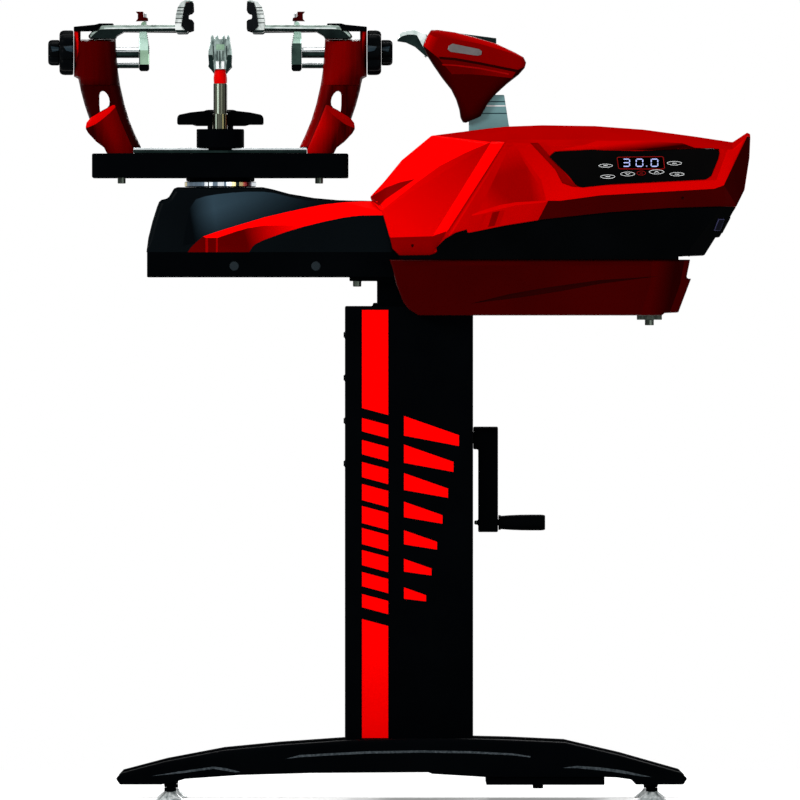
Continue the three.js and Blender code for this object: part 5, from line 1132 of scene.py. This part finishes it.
supportSizes = {
    "rodEnd": -0.4062, "rodShade": 0.08, "blockHalf": 0.018, "postHalf": 0.009, "footHalf": 0.0165,
    "veeHalf": 0.011, "pin": (145.2, 12.7, 25, 0.002),
    "ribs": 15, "rib": (33, 63, 0.0013), "ribLine": (146.2, 31, 0.17), "ribRight": 148.8,
    "block": [(138.8, 64.4), (138.8, 38), (147.4, 38), (148.9, 48), (148.9, 64.4)],
    "post": [(138.8, 40), (139.2, 32), (140.2, 26), (141.2, 22.4), (143.4, 20.9), (145.8, 22.4), (146.2, 31),
        (147.6, 40)],
    "foot": [(138.8, 64.4), (148.9, 64.4), (148.9, 69), (147.4, 70.8), (140.4, 70.8), (138.8, 69)],
    # Painted highlights on the blocks' upper parts, and painted shade along their edges
    "leftLight": (138, 31, 152, 50), "rightLight": (138, 20, 152, 43),
    "shades": [[(146.4, 33), (150, 33), (150, 54), (148.3, 54), (147.8, 44)], [(138, 49.4), (139.9, 49.4),
        (139.9, 65), (138, 65)]],
    "vee": [(135.4, 11.2), (143, 11.2), (143.4, 16.8), (147.6, 17.5), (148, 20.6), (135.4, 20.9), (137.4, 18.6),
        (137.6, 13.8)]}


def supports():
    sizes = supportSizes
    for side, mirror in sides:
        rods = shapeFrom("left_support")
        split(rods, (sizes["rodEnd"], 0, 0), (1, 0, 0), True)
        # Downward faces of the rods get painted shade
        paintWhere(rods, 1, lambda spot, way: way.z < sizes["rodShade"])
        block = plate(sizes["block"], sizes["blockHalf"], plain)
        slab(places(sizes["post"]), -sizes["postHalf"], sizes["postHalf"], block)
        top, foot, size = sizes["rib"]
        lineX, lineY, slope = sizes["ribLine"]
        for i in range(sizes["ribs"]):
            py = top + (foot - top) * i / (sizes["ribs"] - 1)
            px = min(sizes["ribRight"], lineX + (py - lineY) * slope)
            addBox(block, (across(px), 0, level(py)), (size, 2 * sizes["postHalf"], size), pi / 4)
        # A painted highlight on the block's upper part, painted shade along its right edge and its lower left edge
        dress(block, oblong(*sizes[side + "Light"]), 1)
        for outline in sizes["shades"]:
            dress(block, outline, 2)
        px, top, foot, radius = sizes["pin"]
        high, low = level(top), level(foot)
        pin = turnedShape([(0, low), (radius, low), (radius, high - tiny), (radius - tiny, high), (0, high)],
                          (across(px), 0, 0), steps=20)
        body, vee = side + "_support", side + "_v_support"
        # The right block takes a shaded copy of the left block's green
        tone = "steelGreen" if side == "left" else "steelGreenShaded"
        for name, bm, rider, slotName, looks, replaced in (
                ("SupportRods", rods, body, "steel", ["steel", "steelShade"], [body]),
                ("SupportBlock", block, body, "steel", [tone, "steelMintHighlight", "steelShade"], ()),
                ("SupportFoot", plate(sizes["foot"], sizes["footHalf"], small), body, "steel", ["blackMoulded"], ()),
                ("SupportPin", pin, body, "steel", ["steel"], ()),
                ("VSupport", plate(sizes["vee"], sizes["veeHalf"], tiny), vee, "red_plastic", ["redMoulded"], [vee])):
            addPiece(side + name, bm, rider, looks, replaced, mirror=mirror)


armSizes = {
    "end": (-0.3409, 0.108), "half": 0.0085, "edge": 0.0016, "inner": 0.0042, "shadeFace": -0.3,
    "clawHalf": 0.011, "clawSlope": -0.9, "padHalf": 0.01012, "padEdge": 0.0009,
    "bar": [(87.8, 35.7), (92, 30.6), (97, 26.8), (101.2, 25.2), (113.5, 25), (177, 25.2), (177, 31.8), (123.7, 31.8),
        (116.5, 36), (115.5, 38.7), (90.2, 38.7), (88.8, 38)],
    # A painted glint line below the bar's top, and the root's painted shade
    "line": (104, 27.4, 180, 28.7),
    "leaf": [(90.4, 37), (95, 32.4), (100, 29.2), (113, 28.6), (180, 28.6), (180, 33), (123.7, 33), (116.5, 40),
        (90.2, 40)],
    "claw": [(185.4, 0.6), (190, 0.5), (193.4, 1.3), (193.2, 2.5), (186.4, 3.2), (184.2, 10), (182.8, 20), (182, 27),
        (186, 31), (188.6, 31.4), (187.2, 33.4), (177.3, 33.4), (175.8, 32), (175.2, 24.5), (176.2, 15.3),
        (177.8, 8.2), (181.5, 2.4)],
    "clawFoot": (170, 30.4, 190, 36), "clawRibs": (7.5, 10.8, 14, 18.4, 22.8), "ribTall": 0.9, "ribEnds": (170, 186),
    "ribSink": -0.0006, "ribRim": 0.0001,
    "rubber": [(186, 2.7), (193.2, 2.2), (193.6, 10.8), (191.6, 13), (188.6, 13.9), (188.2, 15), (188.2, 18.3),
        (188.8, 19.2), (191.8, 19.9), (193.6, 21.4), (193.5, 30), (189, 31.4), (186, 31), (181.7, 27.5), (182.5, 20),
        (183.9, 10)]}


# Shifts a straight piece sideways onto a slanted line through a place
def slant(bm, sign, place, slope):
    for vert in bm.verts:
        vert.co.y += sign * (place[1] + (vert.co.x - place[0]) * slope)
    return bm


def sideArms():
    sizes = armSizes
    endX, endY = sizes["end"]
    slope = (endY - armPivot[1]) / (endX - armPivot[0])
    left, right = sizes["ribEnds"]
    for side, mirror in sides:
        for end, sign in (("front", -1), ("rear", 1)):
            bar = plate(sizes["bar"], sizes["half"], sizes["edge"], 3)
            # Downward faces and the thick root get painted shade, a thin line along the bar a painted glint
            paintWhere(bar, 1, lambda spot, way: way.z < sizes["shadeFace"])
            dress(bar, sizes["leaf"], 1)
            dress(bar, oblong(*sizes["line"]), 2)
            split(slant(bar, sign, armPivot, slope), (0, sign * sizes["inner"], 0), (0, -sign, 0), True)
            claw = plate(sizes["claw"], sizes["clawHalf"], plain)
            # Painted shade on the claw's foot and in its sunk ribs
            dress(claw, oblong(*sizes["clawFoot"]), 1)
            for top in sizes["clawRibs"]:
                dress(claw, oblong(left, top, right, top + sizes["ribTall"]), 1, sizes["ribSink"],
                      rim=sizes["ribRim"])
            pad = plate(sizes["rubber"], sizes["padHalf"], sizes["padEdge"])
            name, node = side + "Arm" + end.capitalize(), side + "_arm_" + end
            addPiece(name, bar, node, ["chromeDull", "steelLeafShade", "noseBright"], [node], mirror=mirror)
            for part, bm, looks in (("Claw", claw, ["chrome", "steelShade"]), ("Pad", pad, ["rubber"])):
                addPiece(name + part, slant(bm, sign, sizes["end"], sizes["clawSlope"]), node, looks,
                         mirror=mirror)


towers()
knobs()
supports()
sideArms()

# String clamps
clampSizes = {
    "baseEdge": 0.0014, "handleHalf": 0.0085, "handleY": -0.033, "handleEdge": 0.0025, "postY": -0.066,
    "jaw": (-0.0782, -0.0672), "head": (-0.0648, -0.0538),
    "handle": [(177, 124.4), (177, 117.2), (178.6, 114.6), (190, 112.2), (205, 110.6), (206.5, 109.6), (234, 109.6),
        (235.5, 110.6), (250, 112.2), (261.6, 114.6), (263.4, 117.2), (263.4, 124.4), (248, 124.4), (246, 125.6),
        (195, 125.6), (193, 124.4)],
    "hubFoot": [(0.0046, 0), (0.0196, 0), (0.02, 0.0004)],
    "hubTop": [(0.02, 0.003), (0.0185, 0.0012), (0.015, 0), (0.006, 0), (0.0055, 0.001), (0, 0.001)],
    "plate": [(210.8, 41.2), (210.9, 37), (212, 35), (213.2, 35.6), (213.9, 38), (214.2, 39), (215.2, 39),
        (215.5, 37), (216.6, 35), (217.8, 35.6), (218.3, 38), (218.6, 39), (219.6, 39.2), (221.2, 39.2), (222, 39),
        (222.3, 37), (223.4, 35), (224.6, 35.6), (225, 38), (225.3, 39), (226.5, 39), (226.8, 37), (228, 35),
        (229.2, 35.6), (229.6, 38), (229.8, 41.2), (231.4, 50), (231.8, 55.7), (231.4, 64), (231.9, 66.6),
        (229.6, 69), (226, 73.6), (214, 73.6), (210.6, 69), (208.2, 66.6), (208.9, 64), (208.3, 55.7), (208.6, 50)],
    "plateEdge": 0.0007, "slotHalf": 0.5, "slotSink": -0.0012, "slotRim": 0.0001,
    "slots": [(213.4, 46, 60), (217.2, 51, 60), (219.9, 51, 68), (223, 51, 60), (226.8, 46, 60)],
    "panel": (216, 44.3, 224.6, 50), "panelProud": 0.0008, "panelRim": 0.0003,
    "strips": [[(215.9, 61.5), (219, 61.5), (219, 69), (216.2, 69)], [(221.4, 61.5), (224.4, 61.5), (224.2, 69),
        (221.4, 69)]],
    "stripProud": 0.0006, "stripRim": 0.0002,
    # Painted shade down the plate's sides
    "shades": [[(206, 55), (212.6, 55), (214.5, 75), (206, 75)], [(234, 55), (227.6, 55), (225.5, 75), (234, 75)]],
    "post": (0.0119, 0.0105, 0.007), "postStep": 0.044, "postEdge": 0.0004, "spigot": 0.036, "spigotTop": 0.0143,
    "jawFoot": 69.2, "bridge": (-0.0594, 78), "bridgeSize": (0.012, 0.008, 0.012),
    "collar": [(0.0074, 85.2), (0.0078, 85.2), (0.0096, 84.2), (0.0102, 80.5), (0.0102, 77), (0.0092, 73.2),
               (0.0086, 70.6), (0.0078, 69.4), (0.0074, 69.4)],
    # Painted reflection bands on the post, above and below its step
    "highBands": [(210, 0), (213.7, 3), (214.7, 0), (217.2, 2), (218.8, 0), (222.3, 3), (223.7, 0), (224.6, 3),
        (226.4, 0)],
    "lowBands": [(210, 1), (213.2, 3), (215.7, 2), (216.6, 3), (217.6, 0), (221.6, 3), (222.7, 1), (223.6, 3),
        (225.5, 1), (226.6, 3)]}


def clampPlate(near, far, side):
    sizes = clampSizes
    bm = plate(sizes["plate"], (far - near) / 2, sizes["plateEdge"])
    # Painted shade down the plate's sides and in its sunk slots
    for outline in sizes["shades"]:
        dress(bm, outline, 1)
    half = sizes["slotHalf"]
    for px, top, foot in sizes["slots"]:
        dress(bm, oblong(px - half, top, px + half, foot), 1, sizes["slotSink"], rim=sizes["slotRim"])
    dress(bm, oblong(*sizes["panel"]), 2, sizes["panelProud"], rim=sizes["panelRim"], sides=[side])
    for outline in sizes["strips"]:
        dress(bm, outline, 3, sizes["stripProud"], rim=sizes["stripRim"], sides=[side])
    bmesh.ops.translate(bm, verts=bm.verts, vec=(0, (near + far) / 2, 0))
    return bm


def clampPost():
    sizes = clampSizes
    low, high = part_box("front_clamp_post")
    wide, slim, spigot = sizes["post"]
    edge, step, shoulder = sizes["postEdge"], low.z + sizes["postStep"], high.z - sizes["spigot"]
    top = high.z - sizes["spigotTop"]
    post = turnedShape([(0, low.z), (wide, low.z), (wide, step - tiny), (wide - tiny, step), (slim, step),
                        (slim, shoulder - edge), (slim - edge, shoulder), (spigot, shoulder), (spigot, top - tiny),
                        (spigot - tiny, top), (0, top)], (turnX, sizes["postY"], 0), steps=96)
    paintReflectionBands(post, sizes["lowBands"], step)
    paintReflectionBands(post, sizes["highBands"], shoulder, step)
    return post


def lockHandle():
    sizes = clampSizes
    middle, half = sizes["handleY"], sizes["handleHalf"]
    wing = slab(places(sizes["handle"]), middle - half, middle + half)
    soften(wing, sizes["handleEdge"], 3, 25)
    low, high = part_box("front_lock_handle")
    hub = [(radius, low.z + up) for radius, up in sizes["hubFoot"]]
    hub += [(radius, high.z - down) for radius, down in sizes["hubTop"]]
    return turnedShape(hub, (turnX, middle, 0), bm=wing)


def clamps():
    sizes = clampSizes
    looks = ["clampSteel", "steelShade", "steelGreen", "whitePrint"]
    for end, mirror in (("front", None), ("rear", (1, 0))):
        base = shapeFrom("front_clamp_base")
        soften(base, sizes["baseEdge"], 3)
        collar = turnedShape([(radius, level(py)) for radius, py in sizes["collar"]], (turnX, sizes["postY"], 0),
                             steps=36)
        bridgeY, bridgeLevel = sizes["bridge"]
        addBox(collar, (turnX, bridgeY, level(bridgeLevel)), sizes["bridgeSize"])
        jaw = clampPlate(*sizes["jaw"], -1)
        split(jaw, (0, 0, level(sizes["jawFoot"])), (0, 0, -1), True)
        for name, bm, node, slotName, finishNames in (
                ("ClampBase", base, "_clamp_base", "black_alloy", ["blackPowder"]),
                ("ClampPost", clampPost(), "_clamp_post", "brass_grey",
                 ["brassGrey", "brassReflectionPale", "brassReflectionLight", "brassReflectionDark"]),
                ("LockHandle", lockHandle(), "_lock_handle", "black_plastic", ["blackMoulded"]),
                ("ClampHead", clampPlate(*sizes["head"], 1), "_clamp_head", "steel", looks),
                ("ClampCollar", collar, "_clamp_head", "steel", ["redWarmPlain"]),
                ("ClampJaw", jaw, "_clamp_jaw", "steel", looks)):
            replaced = () if name == "ClampCollar" else [end + node]
            addPiece(end + name, bm, end + node, finishNames, replaced, mirror=mirror)


clamps()
print("turntable made")

# Pieces inside keep their solids
innerLooks = {"jack_screw": "steelDark", "guide_rail": "steel", "drive_motor": "blackMoulded", "drive_screw": "steel",
              "control_board": "board"}
for node, look in innerLooks.items():
    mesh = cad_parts[node].data
    mesh.materials.clear()
    mesh.materials.append(finishes[look])

# Floor, world and lamps
studio = {
    "floor": 4, "floorSteps": 96, "floorShades": (0.93, 0.97), "speck": 3.0, "ambient": 0.42, "lift": 0.3,
    "aim": (0, 0, 0.7),
    "lamps": [
        ("keyLamp", (-3.0, -3.4, 2.6), 1.6, 150),
        ("fillLamp", (2.6, -4.0, 1.2), 2.4, 40),
        ("topLamp", (-0.4, 0.2, 4.2), 1.6, 50),
        ("backLamp", (0.5, 3.4, 2.4), 2.2, 50)]}


def paleFloor():
    floorPaint = Finish("paleFloor")
    speck = floorPaint.add("ShaderNodeTexNoise", None, {"Scale": studio["speck"], "Detail": 2})
    tone = floorPaint.blend(speck, *[(shade, shade, shade, 1) for shade in studio["floorShades"]])
    matt = floorPaint.add("ShaderNodeBsdfDiffuse", None, {"Color": tone})
    seenRay = floorPaint.add("ShaderNodeLightPath")
    glow = floorPaint.add("ShaderNodeEmission", None, {"Color": (1, 1, 1, 1), "Strength": seenRay * studio["lift"]})
    both = floorPaint.add("ShaderNodeAddShader", None, {0: matt, 1: glow})
    floorPaint.add("ShaderNodeOutputMaterial", None, {"Surface": both})
    bm = bmesh.new()
    bmesh.ops.create_circle(bm, cap_ends=True, radius=studio["floor"], segments=studio["floorSteps"])
    mesh = bpy.data.meshes.new("paleFloor")
    bm.to_mesh(mesh)
    bm.free()
    mesh.materials.append(floorPaint.material)
    floor = bpy.data.objects.new("paleFloor", mesh)
    scene.collection.objects.link(floor)


# The world is white where it is seen, also by reflection, and dimmer as a light
def studioLight():
    world = bpy.data.worlds.new("studio")
    scene.world = world
    world.use_nodes = True
    tree = world.node_tree
    tree.nodes.clear()
    rays = tree.nodes.new("ShaderNodeLightPath")
    seen = Wire(tree, rays.outputs["Is Camera Ray"]).calc("MAXIMUM", Wire(tree, rays.outputs["Is Glossy Ray"]))
    seen = seen.calc("MAXIMUM", Wire(tree, rays.outputs["Is Transmission Ray"]))
    strength = seen * (1 - studio["ambient"]) + studio["ambient"]
    sky = tree.nodes.new("ShaderNodeBackground")
    sky.inputs["Color"].default_value = (1, 1, 1, 1)
    tree.links.new(strength.socket, sky.inputs["Strength"])
    out = tree.nodes.new("ShaderNodeOutputWorld")
    tree.links.new(sky.outputs[0], out.inputs[0])
    for name, place, size, power in studio["lamps"]:
        lamp = bpy.data.lights.new(name, "AREA")
        lamp.shape = "DISK"
        lamp.size = size
        lamp.energy = power
        holder = bpy.data.objects.new(name, lamp)
        holder.location = place
        holder.rotation_euler = (Vector(place) - Vector(studio["aim"])).to_track_quat("Z", "Y").to_euler()
        scene.collection.objects.link(holder)


paleFloor()
studioLight()
scene.view_settings.view_transform = "Standard"
print("studio made")
